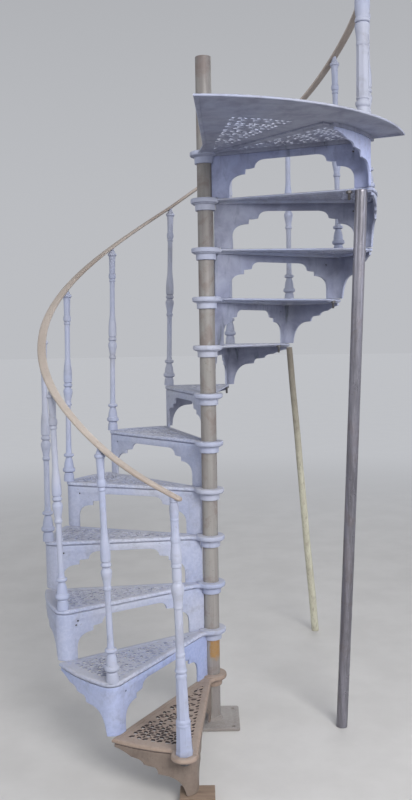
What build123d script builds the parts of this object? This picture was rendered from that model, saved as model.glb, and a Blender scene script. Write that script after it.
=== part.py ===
from build123d import *
import math
import os

os.makedirs("parts", exist_ok=True)

# ------------------------------------------------------------------
# Spiral stair, trial-assembled: centre column, wedge treads, a scalloped
# riser-and-string bracket under each tread, turned balusters, handrail.
# Millimetres, +Z up, origin on the column axis at floor level.
# -Y is the side the first tread points to, +X is the side of the landing.
# ------------------------------------------------------------------
n_treads = 12            # eleven treads and the landing
rise = 212.7             # top of tread to top of tread
first_z = 219.8          # top of the lowest tread
turn = 26.11             # degrees from one tread to the next, clockwise seen from above
first_a = 265.4          # direction of the lowest nosing, degrees from +X
tread_r = 740.0          # nosing radius
plate_t = 9.0            # web of the pierced plate
rim_t = 20.0             # depth of the nosing rim
rim_w = 24.0             # width of the nosing rim
back_over = 17.0         # how far a tread runs under the next nosing
land_drop = 12.0         # the landing plate sits this much lower than a full rise

col_r = 35.0             # centre column
col_wall = 5.0
col_top = 2954.0

lip_r = 64.0             # hub lip
lip_t = 17.5
hub_top = 5.0            # the lip stands proud of the plate
ring_r = 44.0            # hub ring
hub_h = 48.0
hub_fillet = 40.0        # hollow curve from the hub lip into the nosing and the back edge

riser_y = 4.0            # riser face behind the nosing line
riser_t = 10.0
string_r = 736.0         # outside of the outer string
string_t = 10.0

bal_r = 718.0            # baluster circle at the feet
head_r = 712.0           # baluster circle at the heads, before each one's own lean
bal_in = 28.0            # baluster axis behind the nosing line
bal_h = 908.0            # baluster height
corner_r = 50.0          # rounded front corner under the baluster foot

newel_r = 763.0          # first newel, on a lobe of its own
newel_a = 261.9
newel_lobe = 53.0
newel_h = 955.0
end_at = (637.0, -292.0)  # foot of the landing newel

rail_w = 36.0
rail_t = 16.0

block_t = 40.0           # timber packer under the first foot


def nose_dir(k):
    """Direction of the nosing line of tread k (1..12), degrees from +X."""
    return first_a - turn * (k - 1)


def top_z(k):
    return first_z + rise * (k - 1) - (land_drop if k == n_treads else 0.0)


def tread_loc(k):
    return Location((0, 0, top_z(k)), (0, 0, nose_dir(k)))


def polar(r, a):
    return (r * math.cos(math.radians(a)), r * math.sin(math.radians(a)))


def back_x(x, over):
    """Point of the back edge at distance x along it, in the tread's own frame:
    a line parallel to the next nosing, over mm beyond it."""
    a = math.radians(-turn)
    return (x * math.cos(a) + over * math.sin(a), x * math.sin(a) - over * math.cos(a))


hub_profile = [(lip_r - 3, hub_top), (lip_r, hub_top - 3), (lip_r, -lip_t + 5), (lip_r - 7, -lip_t),
               (ring_r + 3, -lip_t - 2.5), (ring_r, -lip_t - 7), (ring_r, -hub_h + 3), (ring_r - 3, -hub_h)]

# ------------------------------------------------------------------
# Tread template. Own frame: nosing line along +X, plate towards -Y, top at z 0
# ------------------------------------------------------------------
corner_c = (math.sqrt((tread_r - corner_r) ** 2 - corner_r**2), -corner_r)
corner_a = math.degrees(math.asin(-corner_r / (tread_r - corner_r)))   # where the rounding runs into the outer arc
back_corner = back_x(math.sqrt(tread_r**2 - back_over**2), back_over)
mid_a = -turn / 2


def slot(r0, r1, a0, a1, bar):
    """Radial slot between two radii; bar is kept clear on each side."""
    pts = []
    for r, s in ((r0, 1), (r1, 1), (r1, -1), (r0, -1)):
        da = math.degrees(bar / 2 / r)
        a = (a0 - da) if s == 1 else (a1 + da)
        pts.append(polar(r, a))
    return pts


def pierced(a_from, a_to):
    out = []
    for r0, r1, n in ((118, 250, 2), (266, 455, 4), (471, 668, 6)):
        span = (a_to - a_from) / n
        for i in range(n):
            out.append(slot(r0, r1, a_from + span * i, a_from + span * (i + 1), 12.0))
    return out


def hub_curve(over):
    """Web between the round lip and a straight edge that runs along +X, over mm to its left."""
    x = math.sqrt((lip_r + hub_fillet) ** 2 - (hub_fillet + over) ** 2)
    on_lip = (lip_r * x / (lip_r + hub_fillet), lip_r * (over + hub_fillet) / (lip_r + hub_fillet))
    mid_dir = math.atan2(on_lip[1] - over - hub_fillet, on_lip[0] - x)
    half = (mid_dir - (-math.pi / 2)) / 2
    while half > 0:
        half -= math.pi
    mid = (x + hub_fillet * math.cos(-math.pi / 2 + half), over + hub_fillet + hub_fillet * math.sin(-math.pi / 2 + half))
    with BuildSketch() as s:
        with BuildLine():
            Line((40, 0), (x, 0))
            if over > 0:
                Line((x, 0), (x, over))
            ThreePointArc((x, over), mid, on_lip)
            Line(on_lip, (40, 0))
        make_face()
    return s.sketch


def on_corner(radius, a):
    """Point at angle a on a circle about the centre of the front corner's rounding."""
    p = polar(radius, a)
    return (corner_c[0] + p[0], corner_c[1] + p[1])


def wedge_sketch():
    with BuildSketch() as s:
        with BuildLine():
            Line((20, 0), (corner_c[0], 0))
            ThreePointArc((corner_c[0], 0), on_corner(corner_r, (90 + corner_a) / 2), polar(tread_r, corner_a))
            ThreePointArc(polar(tread_r, corner_a), polar(tread_r, mid_a), back_corner)
            Line(back_corner, back_x(20, back_over))
            Line(back_x(20, back_over), (20, 0))
        make_face()
        add(hub_curve(0.0))
        add(hub_curve(back_over).mirror(Plane.XZ).rotate(Axis.Z, -turn))
    return s.sketch


def rim_inner_sketch():
    """Area inside the rim, where only the thin web is left. The back edge has no rim."""
    r_in = tread_r - rim_w
    with BuildSketch() as s:
        with BuildLine():
            Line((70, -rim_w), (r_in - 30, -rim_w))
            Line((r_in - 30, -rim_w), polar(r_in, -4.6))
            ThreePointArc(polar(r_in, -4.6), polar(r_in, mid_a), polar(r_in, -31.0))
            Line(polar(r_in, -31.0), polar(118, -44.0))
            Line(polar(118, -44.0), polar(86, -28.0))
            Line(polar(86, -28.0), (70, -rim_w))
        make_face()
    return s.sketch


with BuildPart() as tread_t:
    with BuildSketch(Plane.XY.offset(-rim_t)):
        add(wedge_sketch())
    extrude(amount=rim_t)
    # hollow underside inside the rim
    with BuildSketch(Plane.XY.offset(-rim_t)):
        add(rim_inner_sketch())
    extrude(amount=rim_t - plate_t, mode=Mode.SUBTRACT)
    # pierced slots
    with BuildSketch(Plane.XY.offset(-rim_t)):
        for pts in pierced(-3.6, -23.6):
            with BuildLine():
                Polyline(*pts, close=True)
            make_face()
    extrude(amount=rim_t + 1, mode=Mode.SUBTRACT)
    # hub: lip, cove and ring
    with BuildSketch(Plane.XZ):
        with BuildLine():
            Polyline((col_r, hub_top), *hub_profile, (col_r, -hub_h), close=True)
        make_face()
    revolve(axis=Axis.Z)
    with Locations((0, 0, (hub_top - hub_h) / 2)):
        Cylinder(col_r, hub_h + hub_top + 2, mode=Mode.SUBTRACT)

# first tread: same wedge with a larger lobe for the newel
na = newel_a - first_a
newel_c = polar(newel_r, na)
with BuildPart() as tread_first:
    add(tread_t.part)
    with BuildSketch(Plane.XY.offset(-rim_t)):
        with Locations(newel_c):
            Circle(newel_lobe)
        with BuildLine():
            Polyline((690, 0), (tread_r, 0), polar(tread_r, -10), polar(690, -10), close=True)
        make_face()
    extrude(amount=rim_t)

# ------------------------------------------------------------------
# Landing: hub and one wide plate with two pierced panels
# ------------------------------------------------------------------
land_a = nose_dir(n_treads)               # direction of the landing's nosing
land_pts = [(797.8, -328.6), (451.5, -790.1), (-34.7, -957.3)]


def to_local(p, a):
    c, s = math.cos(math.radians(-a)), math.sin(math.radians(-a))
    return (p[0] * c - p[1] * s, p[0] * s + p[1] * c)


lp = [to_local(p, land_a) for p in land_pts]
with BuildPart() as landing_t:
    with BuildSketch(Plane.XY.offset(-12)):
        with BuildLine():
            Line((20, 0), (lp[0][0], 0))
            ThreePointArc((lp[0][0], 0), lp[1], lp[2])
            Line(lp[2], polar(60, -70.5))
            Line(polar(60, -70.5), (20, 0))
        make_face()
    extrude(amount=12)
    # rim under the nosing, over the string and along the back of the step
    with BuildSketch(Plane.XY.offset(-rim_t)):
        with BuildLine():
            Line((50, 0), (tread_r, 0))
            ThreePointArc((tread_r, 0), polar(tread_r, mid_a), polar(tread_r, -27.0))
            Line(polar(tread_r, -27.0), polar(tread_r - rim_w, -27.0))
            ThreePointArc(polar(tread_r - rim_w, -27.0), polar(tread_r - rim_w, mid_a), polar(tread_r - rim_w, -2.0))
            Line(polar(tread_r - rim_w, -2.0), (50, -rim_w))
            Line((50, -rim_w), (50, 0))
        make_face()
    extrude(amount=rim_t)
    with BuildSketch(Plane.XY.offset(-rim_t - 1)):
        for pts in pierced(-3.6, -25.6) + pierced(-39.0, -60.0):
            with BuildLine():
                Polyline(*pts, close=True)
            make_face()
    extrude(amount=rim_t + 2, mode=Mode.SUBTRACT)
    with BuildSketch(Plane.XZ):
        with BuildLine():
            Polyline((col_r, hub_top), *hub_profile, (col_r, -hub_h), close=True)
        make_face()
    revolve(axis=Axis.Z)
    with Locations((0, 0, (hub_top - hub_h) / 2)):
        Cylinder(col_r, hub_h + hub_top + 2, mode=Mode.SUBTRACT)

# ------------------------------------------------------------------
# Bracket: riser panel with a scalloped arch, corner leg, outer string
# ------------------------------------------------------------------
arch_mid = 388.0
arch_half = [(272, 0), (272, 57), (266, 75), (254, 90), (236, 99), (199, 107), (197, 127),
             (156, 131), (150, 143), (138, 154), (120, 163)]


def arch_points(foot):
    """Opening outline in (distance from axis, z) for a bracket whose foot is at -foot."""
    left = [(arch_mid - x, -foot - 1 if z == 0 else -rise + z) for x, z in arch_half]
    right = [(arch_mid + x, -foot - 1 if z == 0 else -rise + z) for x, z in reversed(arch_half)]
    return left + right


def make_bracket(foot):
    leg_a = corner_a
    leg_r = corner_r - riser_y
    with BuildPart() as b:
        # riser panel
        with BuildSketch(Plane.XZ.offset(riser_y)):
            with BuildLine():
                Polyline((36, -rim_t), (corner_c[0], -rim_t), (corner_c[0], -foot), (36, -foot), close=True)
            make_face()
            with BuildLine():
                Polyline(*arch_points(foot), close=True)
            make_face(mode=Mode.SUBTRACT)
        extrude(amount=riser_t)
        # rounded leg between the riser and the string
        with BuildSketch(Plane.XY.offset(-foot)):
            with BuildLine():
                ThreePointArc(on_corner(leg_r, 90), on_corner(leg_r, (90 + leg_a) / 2), on_corner(leg_r, leg_a))
                Line(on_corner(leg_r, leg_a), on_corner(leg_r - riser_t, leg_a))
                ThreePointArc(on_corner(leg_r - riser_t, leg_a), on_corner(leg_r - riser_t, (90 + leg_a) / 2), on_corner(leg_r - riser_t, 90))
                Line(on_corner(leg_r - riser_t, 90), on_corner(leg_r, 90))
            make_face()
        extrude(amount=foot - rim_t)
        # outer string, a curved band
        with BuildSketch(Plane.XY.offset(-foot)):
            with BuildLine():
                a1 = -26.6
                ThreePointArc(polar(string_r, leg_a), polar(string_r, mid_a), polar(string_r, a1))
                Line(polar(string_r, a1), polar(string_r - string_t, a1))
                ThreePointArc(polar(string_r - string_t, a1), polar(string_r - string_t, mid_a), polar(string_r - string_t, leg_a))
                Line(polar(string_r - string_t, leg_a), polar(string_r, leg_a))
            make_face()
        extrude(amount=foot - rim_t)
        # scallops of the string, cut square to its chord
        side = Plane(origin=(0, 0, 0), x_dir=(math.cos(math.radians(mid_a - 90)), math.sin(math.radians(mid_a - 90)), 0),
                     z_dir=(-math.cos(math.radians(mid_a)), -math.sin(math.radians(mid_a)), 0))
        half = string_r * math.sin(math.radians(turn / 2))
        # distances are measured from the corner along the chord; z is from the tread top
        prof = [(40, -205), (48, -190), (57, -170), (73, -146), (88, -128), (110, -108), (147, -104), (160, -80),
                (206, -75), (222, -62), (257, -56), (300, -46), (345, -34), (420, -30)]
        prof = [p for p in prof if p[1] > -foot + 2]
        prof = [(prof[0][0] - 2, -foot - 2)] + prof + [(420, -foot - 2)]
        with BuildSketch(side.offset(-string_r - 40)):
            with BuildLine():
                Polyline(*[(d - half, z) for d, z in prof], close=True)
            make_face()
        extrude(amount=140, mode=Mode.SUBTRACT)
        # clear of hub and column
        with BuildSketch(Plane.XZ):
            with BuildLine():
                Polyline((0, hub_top), *hub_profile, (0, -hub_h), close=True)
            make_face()
        revolve(axis=Axis.Z, mode=Mode.SUBTRACT)
        with Locations((0, 0, -rise / 2)):
            Cylinder(col_r, rise * 1.2, mode=Mode.SUBTRACT)
        if foot > first_z - block_t + 1:
            # clear of the lip that stands proud on the tread below
            with Locations((0, 0, -foot + hub_top / 2)):
                Cylinder(lip_r, hub_top, mode=Mode.SUBTRACT)
    return b.part


# ------------------------------------------------------------------
# Balusters
# ------------------------------------------------------------------
bal_prof = [(0, 0), (24.5, 0), (23.5, 28), (22, 35), (19, 40), (27.5, 46), (29.6, 54), (27.5, 63), (22.4, 70), (21.2, 86),
            (16.2, 106), (13.8, 115), (20.5, 118), (23.6, 125), (19, 133), (14.2, 135), (12.6, 170), (12, 330), (12.6, 360),
            (16.6, 365), (16.6, 371), (13.6, 377), (16.2, 398), (21.6, 426), (19.6, 441), (14.8, 449), (20.2, 456),
            (19.6, 465), (16, 471), (19.6, 478), (19.4, 520), (14.6, 566), (12.4, 600), (12.2, 742), (15.4, 748), (15, 754),
            (13, 759), (17.4, 766), (17, 783), (13.8, 790), (15.4, 856), (21.4, 868), (21.4, 880), (14.6, 885), (15.6, 893),
            (10.4, 901)]


def make_baluster(height, scale=1.0):
    with BuildPart() as b:
        with BuildSketch(Plane.XZ):
            with BuildLine():
                pts = [(r * scale, z * height / bal_h) for r, z in bal_prof]
                pts += [(pts[-1][0], height + 9), (0, height + 9)]
                Polyline(*pts, close=True)
            make_face()
        revolve(axis=Axis.Z)
    return b.part


newel_prof = [(0, 0), (31.5, 0), (31.8, 9), (29.6, 16), (26.4, 106), (27.6, 113), (27.2, 128), (22.8, 134), (19.6, 284),
              (21.4, 292), (21.4, 300), (18.6, 307), (23, 315), (19.8, 326), (16.2, 366), (18.2, 374), (15.6, 388),
              (15.4, 546), (18, 555), (17, 565), (23.6, 614), (23, 634), (16.8, 646), (18.2, 658), (17, 700), (20.2, 708),
              (17.6, 716), (20.8, 732), (20.6, 745), (16.4, 793), (18.6, 803), (15, 822), (14.8, 874), (16.4, 879),
              (15, 886), (17.4, 912), (17, 928), (13.8, 941), (15.6, 946)]

# the landing newel is stouter: clustered shaft, bell and bulb
end_prof = [(0, 0), (23.5, 0), (23.5, 112), (27, 118), (27, 128), (23.6, 134), (27, 144), (23.4, 160), (23.4, 340), (25.6, 372),
            (29.4, 404), (28.6, 434), (22, 438), (29.6, 444), (29.6, 456), (26, 462), (29.6, 480), (29.6, 528), (25, 560),
            (20, 590), (26, 598), (26, 610), (20, 618), (18, 640), (17, 740), (22, 750), (22, 760), (18, 768), (18, 840),
            (24, 852), (24, 868), (17, 880), (17, 890)]


def make_newel(prof, height):
    with BuildPart() as b:
        with BuildSketch(Plane.XZ):
            with BuildLine():
                pts = list(prof) + [(prof[-1][0], height + 8), (0, height + 8)]
                Polyline(*pts, close=True)
            make_face()
        revolve(axis=Axis.Z)
    return b.part


# where each baluster stands, and how its top leans off plumb (x, y in mm)
lean = {1: (-23, 0), 2: (-26, 0), 3: (-20, 0), 4: (-6, 0), 5: (6, 0), 6: (14, 0), 7: (22, 0), 8: (6, 0),
        9: (0, 0), 10: (-12, 0), 11: (-4, 0), 12: (-4, 0)}


# how far each foot is set off its place on the tread (x, y in mm)
foot_shift = {2: (5, 7), 3: (6, 7), 4: (-4, 6), 5: (-3, 3)}


def bal_base(k, r=bal_r, shifted=True):
    if k == 1:
        x, y = polar(newel_r, newel_a)
        return (x, y, top_z(1))
    if k == n_treads:
        return (end_at[0], end_at[1], top_z(k))
    c, s = math.cos(math.radians(nose_dir(k))), math.sin(math.radians(nose_dir(k)))
    dx, dy = foot_shift.get(k, (0, 0)) if shifted else (0, 0)
    x = r * c + bal_in * s + dx
    y = r * s - bal_in * c + dy
    return (x, y, top_z(k))


def bal_top(k):
    b = bal_base(k, head_r, False)
    h = newel_h if k == 1 else bal_h
    return (b[0] + lean[k][0], b[1] + lean[k][1], b[2] + h)


# ------------------------------------------------------------------
# Handrail: runs over the baluster tops, flat oval section
# ------------------------------------------------------------------
def rail_point(t):
    """Path at t in tread numbers, 1..12: angle, radius and height blended over the baluster tops."""
    ks = list(range(1, n_treads + 1))
    k0 = max(1, min(n_treads - 1, int(math.floor(t))))
    f = t - k0

    def pol(k):
        x, y, z = bal_top(k)
        return math.hypot(x, y), z
    pr = [pol(max(1, min(n_treads, k))) for k in (k0 - 1, k0, k0 + 1, k0 + 2)]

    def cr(a, b, c, d):
        return 0.5 * (2 * b + (c - a) * f + (2 * a - 5 * b + 4 * c - d) * f * f + (3 * b - a - 3 * c + d) * f**3)
    z_out = [p[1] for p in pr]
    if k0 == 1:
        z_out[0] = 2 * z_out[1] - z_out[2]
    if k0 == n_treads - 1:
        z_out[3] = 2 * z_out[2] - z_out[1]
    r = cr(*[p[0] for p in pr])
    z = cr(*z_out)
    angs = []
    for k in (k0, k0 + 1):
        x, y, _ = bal_top(k)
        a = math.degrees(math.atan2(y, x))
        ref = nose_dir(k) - 2.2
        while a - ref > 180:
            a -= 360
        while a - ref < -180:
            a += 360
        angs.append(a)
    a = angs[0] + (angs[1] - angs[0]) * f
    x, y = polar(r, a)
    return Vector(x, y, z + rail_t / 2 / math.cos(math.radians(32.7)))


steps = 5
rail_path = [rail_point(1 + i / steps) for i in range(0, (n_treads - 1) * steps + 1)]
# short overrun past the first newel
d0 = (rail_path[0] - rail_path[1]).normalized()
rail_path = [rail_path[0] + d0 * 34] + rail_path
d1 = (rail_path[-1] - rail_path[-2]).normalized()
rail_path = rail_path + [rail_path[-1] + d1 * 30]


def oval(w, t, n=14):
    return [(w / 2 * math.copysign(abs(math.cos(2 * math.pi * i / n)) ** 0.75, math.cos(2 * math.pi * i / n)),
             t / 2 * math.copysign(abs(math.sin(2 * math.pi * i / n)) ** 0.75, math.sin(2 * math.pi * i / n))) for i in range(n)]


section = oval(rail_w, rail_t)
rings = []
for i, p in enumerate(rail_path):
    a = rail_path[max(0, i - 1)]
    b = rail_path[min(len(rail_path) - 1, i + 1)]
    tan = (b - a).normalized()
    side = tan.cross(Vector(0, 0, 1)).normalized()
    up = side.cross(tan).normalized()
    rings.append([p + side * u + up * v for u, v in section])

faces = []
m = len(section)
for i in range(len(rings) - 1):
    for j in range(m):
        a, b = rings[i][j], rings[i][(j + 1) % m]
        c, d = rings[i + 1][(j + 1) % m], rings[i + 1][j]
        faces.append(Face(Wire.make_polygon([a, b, c], close=True)))
        faces.append(Face(Wire.make_polygon([a, c, d], close=True)))
for ring in (rings[0], rings[-1]):
    faces.append(Face(Wire.make_polygon(ring, close=True)))
rail_solid = Solid(Shell(faces))
if rail_solid.volume < 0:
    rail_solid = Solid(Shell([f for f in faces]).reversed()) if hasattr(Shell, "reversed") else rail_solid

with BuildPart() as handrail:
    add(rail_solid)

# ------------------------------------------------------------------
# Column and its base plate
# ------------------------------------------------------------------
base_t = 12.0
base_w = 240.0
with BuildPart() as centre_column:
    with BuildSketch(Plane.XY.offset(base_t)):
        Circle(col_r)
        Circle(col_r - col_wall, mode=Mode.SUBTRACT)
    extrude(amount=col_top - base_t)

with BuildPart() as column_base:
    with BuildSketch():
        RectangleRounded(base_w, base_w, 12)
    extrude(amount=base_t)
    # welded collar round the column foot
    with BuildSketch(Plane.XY.offset(base_t)):
        Circle(col_r + 7)
        Circle(col_r, mode=Mode.SUBTRACT)
    extrude(amount=16)

# ------------------------------------------------------------------
# Supports: steel tube under the upper treads, timber prop behind, timber packer
# ------------------------------------------------------------------
post_foot = Vector(577, -82, 0)
post_top = Vector(635, -266, top_z(11) - plate_t)
post_d = 50.0
pd = (post_top - post_foot).normalized()
with BuildPart() as support_post:
    with BuildSketch(Plane(origin=post_foot - pd * 60, z_dir=pd)):
        Circle(post_d / 2)
        Circle(post_d / 2 - 4, mode=Mode.SUBTRACT)
    extrude(amount=(post_top - post_foot).length + 140)
    with Locations((0, 0, -500)):
        Box(3000, 3000, 1000, mode=Mode.SUBTRACT)
    with Locations((0, 0, top_z(11) - plate_t + 500)):
        Box(3000, 3000, 1000, mode=Mode.SUBTRACT)

prop_foot = Vector(614, 1170, 0)
prop_top = Vector(414, 560, top_z(8) - rim_t)
qd = (prop_top - prop_foot).normalized()
with BuildPart() as rear_prop:
    with BuildSketch(Plane(origin=prop_foot - qd * 60, z_dir=qd)):
        Circle(22)
    with BuildSketch(Plane(origin=prop_top + qd * 60, z_dir=qd)):
        Circle(15)
    loft()
    with Locations((0, 0, -500)):
        Box(4000, 4000, 1000, mode=Mode.SUBTRACT)
    with Locations((0, 0, top_z(8) - rim_t + 500)):
        Box(4000, 4000, 1000, mode=Mode.SUBTRACT)

with BuildPart() as foot_block:
    with Locations((-63, -697, block_t / 2)):
        Box(134, 100, block_t)
    fillet(foot_block.edges().filter_by(Axis.Z), 2)

# ------------------------------------------------------------------
# Nut under the newel and bolt ends under the back corners
# ------------------------------------------------------------------
with BuildPart() as newel_nut:
    x, y = polar(newel_r, newel_a)
    with BuildSketch(Plane.XY.offset(top_z(1) - rim_t - 20)):
        with Locations((x, y)):
            RegularPolygon(20.5, 6)
    extrude(amount=20)

with BuildPart() as corner_bolts:
    for k in range(1, n_treads):
        a = nose_dir(k + 1)
        c, s = math.cos(math.radians(a)), math.sin(math.radians(a))
        x, y = 700 * c + 8 * s, 700 * s - 8 * c
        if k in (8, 11):
            # hidden behind the head of a support
            x, y = 638 * c + 8 * s, 638 * s - 8 * c
        with BuildSketch(Plane.XY.offset(top_z(k) - plate_t)):
            with Locations((x, y)):
                RegularPolygon(13, 6)
        extrude(amount=-12)
        with BuildSketch(Plane.XY.offset(top_z(k) - plate_t - 12)):
            with Locations((x, y)):
                Circle(6)
        extrude(amount=-26)

# ------------------------------------------------------------------
# Place and export
# ------------------------------------------------------------------
pieces = {}
for k in range(1, n_treads):
    tmpl = tread_first.part if k == 1 else tread_t.part
    pieces["tread_%02d" % k] = tmpl.moved(tread_loc(k))
pieces["landing_12"] = landing_t.part.moved(tread_loc(n_treads))

std_bracket = make_bracket(rise)
last_bracket = make_bracket(rise - land_drop)
first_bracket = make_bracket(first_z - block_t)
for k in range(1, n_treads + 1):
    made = first_bracket if k == 1 else (last_bracket if k == n_treads else std_bracket)
    pieces["bracket_%02d" % k] = made.moved(tread_loc(k))

std_bal = make_baluster(bal_h)
newel = make_newel(newel_prof, newel_h)
end_newel = make_newel(end_prof, bal_h)
for k in range(1, n_treads + 1):
    b = bal_base(k)
    h = newel_h if k == 1 else bal_h
    t = bal_top(k)
    dx, dy = t[0] - b[0], t[1] - b[1]
    ax = math.degrees(math.atan2(-dy, h))
    ay = math.degrees(math.atan2(dx, h))
    up = (33 if k == 1 else 26) * math.sin(math.radians(math.hypot(ax, ay)))
    shape = newel if k == 1 else (end_newel if k == n_treads else std_bal)
    body = shape.moved(Location((b[0], b[1], b[2] + up), (ax, ay, 0)))
    # the head is coped to the underside of the rail
    body = body - handrail.part
    body = max(body.solids(), key=lambda q: q.volume)
    name = "newel_01" if k == 1 else ("newel_12" if k == 12 else "baluster_%02d" % k)
    pieces[name] = body

pieces["handrail"] = handrail.part
pieces["centre_column"] = centre_column.part
pieces["column_base"] = column_base.part
pieces["support_post"] = support_post.part
pieces["rear_prop"] = rear_prop.part
pieces["foot_block"] = foot_block.part
pieces["newel_nut"] = newel_nut.part
pieces["corner_bolts"] = corner_bolts.part

total = 0.0
for name, shape in pieces.items():
    shape.label = name
    export_step(shape, "parts/%s.step" % name)
    v = sum(s.volume for s in shape.solids())
    total += v
    print("%-16s solids %2d  volume %9.0f cm3/1000  valid %s" % (name, len(shape.solids()), v / 1000.0, shape.is_valid))
print("total volume m3", total / 1e9)
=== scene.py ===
import math
import random

import bmesh
import bpy
from mathutils import Matrix, Vector
from mathutils import noise as mnoise
from mathutils.geometry import delaunay_2d_cdt


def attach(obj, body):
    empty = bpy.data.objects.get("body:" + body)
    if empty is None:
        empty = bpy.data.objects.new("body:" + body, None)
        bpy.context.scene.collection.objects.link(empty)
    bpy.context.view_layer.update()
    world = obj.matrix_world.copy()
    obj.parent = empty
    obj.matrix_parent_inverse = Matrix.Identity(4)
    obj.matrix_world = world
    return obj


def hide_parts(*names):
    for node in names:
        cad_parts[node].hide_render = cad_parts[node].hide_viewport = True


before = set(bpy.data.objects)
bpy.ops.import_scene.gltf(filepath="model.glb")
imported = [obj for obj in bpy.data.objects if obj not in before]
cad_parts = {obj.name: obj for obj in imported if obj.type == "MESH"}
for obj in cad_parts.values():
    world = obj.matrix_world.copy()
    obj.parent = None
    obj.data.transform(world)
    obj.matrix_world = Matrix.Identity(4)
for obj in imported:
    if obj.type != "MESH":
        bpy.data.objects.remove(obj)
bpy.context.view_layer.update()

random.seed(4)

# ------------------------------------------------------------------
# Sizes of the stair, in millimetres, the same as the frame's
# ------------------------------------------------------------------
N = 12
RISE = 212.7
FIRST_Z = 219.8
LAND_DROP = 12.0
TURN = 26.11
FIRST_A = 265.4
TREAD_R = 740.0
BACK_OVER = 17.0
COL_R = 35.0
COL_TOP = 2954.0
LIP_R = 64.0
HUB_F = 40.0
RISER_Y = 4.0
STRING_R = 736.0
CORNER_R = 50.0
BAL_R = 718.0
HEAD_R = 712.0
BAL_IN = 28.0
BAL_H = 908.0
NEWEL_R = 763.0
NEWEL_A = 261.9
NEWEL_LOBE = 53.0
NEWEL_H = 955.0
END_AT = (637.0, -292.0)
RAIL_W = 36.0
RAIL_T = 16.0
BLOCK_T = 40.0
MID_A = -TURN / 2
# centre of the front corner's rounding, and the direction in which it runs into the outer arc
CORNER = (math.sqrt((TREAD_R - CORNER_R) ** 2 - CORNER_R ** 2), -CORNER_R)
CORNER_A = math.degrees(math.asin(-CORNER_R / (TREAD_R - CORNER_R)))
LEG_R = CORNER_R - RISER_Y
BEND = math.radians(90.0 - CORNER_A) * LEG_R


def nose_dir(k):
    return FIRST_A - TURN * (k - 1)


def top_z(k):
    return FIRST_Z + RISE * (k - 1) - (LAND_DROP if k == N else 0.0)


def rad(a):
    return math.radians(a)


def polar(r, a):
    return (r * math.cos(rad(a)), r * math.sin(rad(a)))


def place(k):
    """Tread frame of step k: nosing along +X, plate towards -Y, top at z 0."""
    return Matrix.Translation((0, 0, top_z(k))) @ Matrix.Rotation(rad(nose_dir(k)), 4, "Z")


# ------------------------------------------------------------------
# Geometry helpers, all in millimetres until an object is made
# ------------------------------------------------------------------
class Geo:
    def __init__(self):
        self.v, self.f, self.w = [], [], []

    def add(self, v, f, w=None):
        o = len(self.v)
        self.v += [tuple(p) for p in v]
        self.f += [tuple(i + o for i in q) for q in f]
        self.w += list(w) if w is not None else [0.0] * len(v)
        return self

    def join(self, other, m=None):
        v = [m @ Vector(p) for p in other.v] if m is not None else other.v
        return self.add(v, other.f, other.w)


def make_object(name, geo, mat, sharp=32.0, nodes=(), m=None):
    mesh = bpy.data.meshes.new(name)
    t = Matrix.Scale(0.001, 4)
    if m is not None:
        t = t @ m
    mesh.from_pydata([t @ Vector(p) for p in geo.v], [], geo.f)
    bm = bmesh.new()
    bm.from_mesh(mesh)
    bmesh.ops.recalc_face_normals(bm, faces=bm.faces)
    bm.to_mesh(mesh)
    bm.free()
    # the attribute holds rubbed wear where positive and painted shade where negative
    att = mesh.attributes.new("wear_and_shade", "FLOAT", "POINT")
    att.data.foreach_set("value", geo.w)
    for p in mesh.polygons:
        p.use_smooth = True
    mesh.set_sharp_from_angle(angle=rad(sharp))
    ob = bpy.data.objects.new(name, mesh)
    bpy.context.scene.collection.objects.link(ob)
    for one in (mat if isinstance(mat, (list, tuple)) else [mat]):
        mesh.materials.append(one)
    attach(ob, "root")
    if nodes:
        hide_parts(*nodes)
    return ob


def arc(c, r, a0, a1, n):
    return [(c[0] + r * math.cos(rad(a0 + (a1 - a0) * i / n)), c[1] + r * math.sin(rad(a0 + (a1 - a0) * i / n))) for i in range(n + 1)]


def line(p, q, n):
    return [(p[0] + (q[0] - p[0]) * i / n, p[1] + (q[1] - p[1]) * i / n) for i in range(n + 1)]


def dedupe(pts, eps=0.05):
    out = []
    for p in pts:
        if not out or math.hypot(p[0] - out[-1][0], p[1] - out[-1][1]) > eps:
            out.append(p)
    while len(out) > 1 and math.hypot(out[0][0] - out[-1][0], out[0][1] - out[-1][1]) <= eps:
        out.pop()
    return out


def normals(pts):
    """Outward mitre normals of a closed counter-clockwise path."""
    out = []
    n = len(pts)
    for i in range(n):
        a, b, c = pts[i - 1], pts[i], pts[(i + 1) % n]
        d1 = Vector((b[0] - a[0], b[1] - a[1])).normalized()
        d2 = Vector((c[0] - b[0], c[1] - b[1])).normalized()
        n1, n2 = Vector((d1.y, -d1.x)), Vector((d2.y, -d2.x))
        s = (n1 + n2)
        s = s.normalized() if s.length > 1e-6 else n1
        out.append(s / max(0.45, s.dot(n1)))
    return out


def inset(pts, d):
    return [(p[0] - n.x * d, p[1] - n.y * d) for p, n in zip(pts, normals(pts))]


def sweep_closed(path, profile, wear_and_shade=None, deep=None):
    """Profile of (inward distance, z) swept round a closed counter-clockwise path. deep(i, p) scales its depth."""
    g = Geo()
    ns = normals(path)
    m, n = len(profile), len(path)
    v, w = [], []
    for i, (p, nn) in enumerate(zip(path, ns)):
        for j, (u, z) in enumerate(profile):
            v.append((p[0] - nn.x * u, p[1] - nn.y * u, z * (deep(i, p) if deep else 1.0)))
            w.append(wear_and_shade(i, j, p) if wear_and_shade else 0.0)
    f = []
    for i in range(n):
        for j in range(m):
            a, b = i * m + j, i * m + (j + 1) % m
            c, d = ((i + 1) % n) * m + (j + 1) % m, ((i + 1) % n) * m + j
            f.append((a, b, c, d))
    return g.add(v, f, w)


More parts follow.
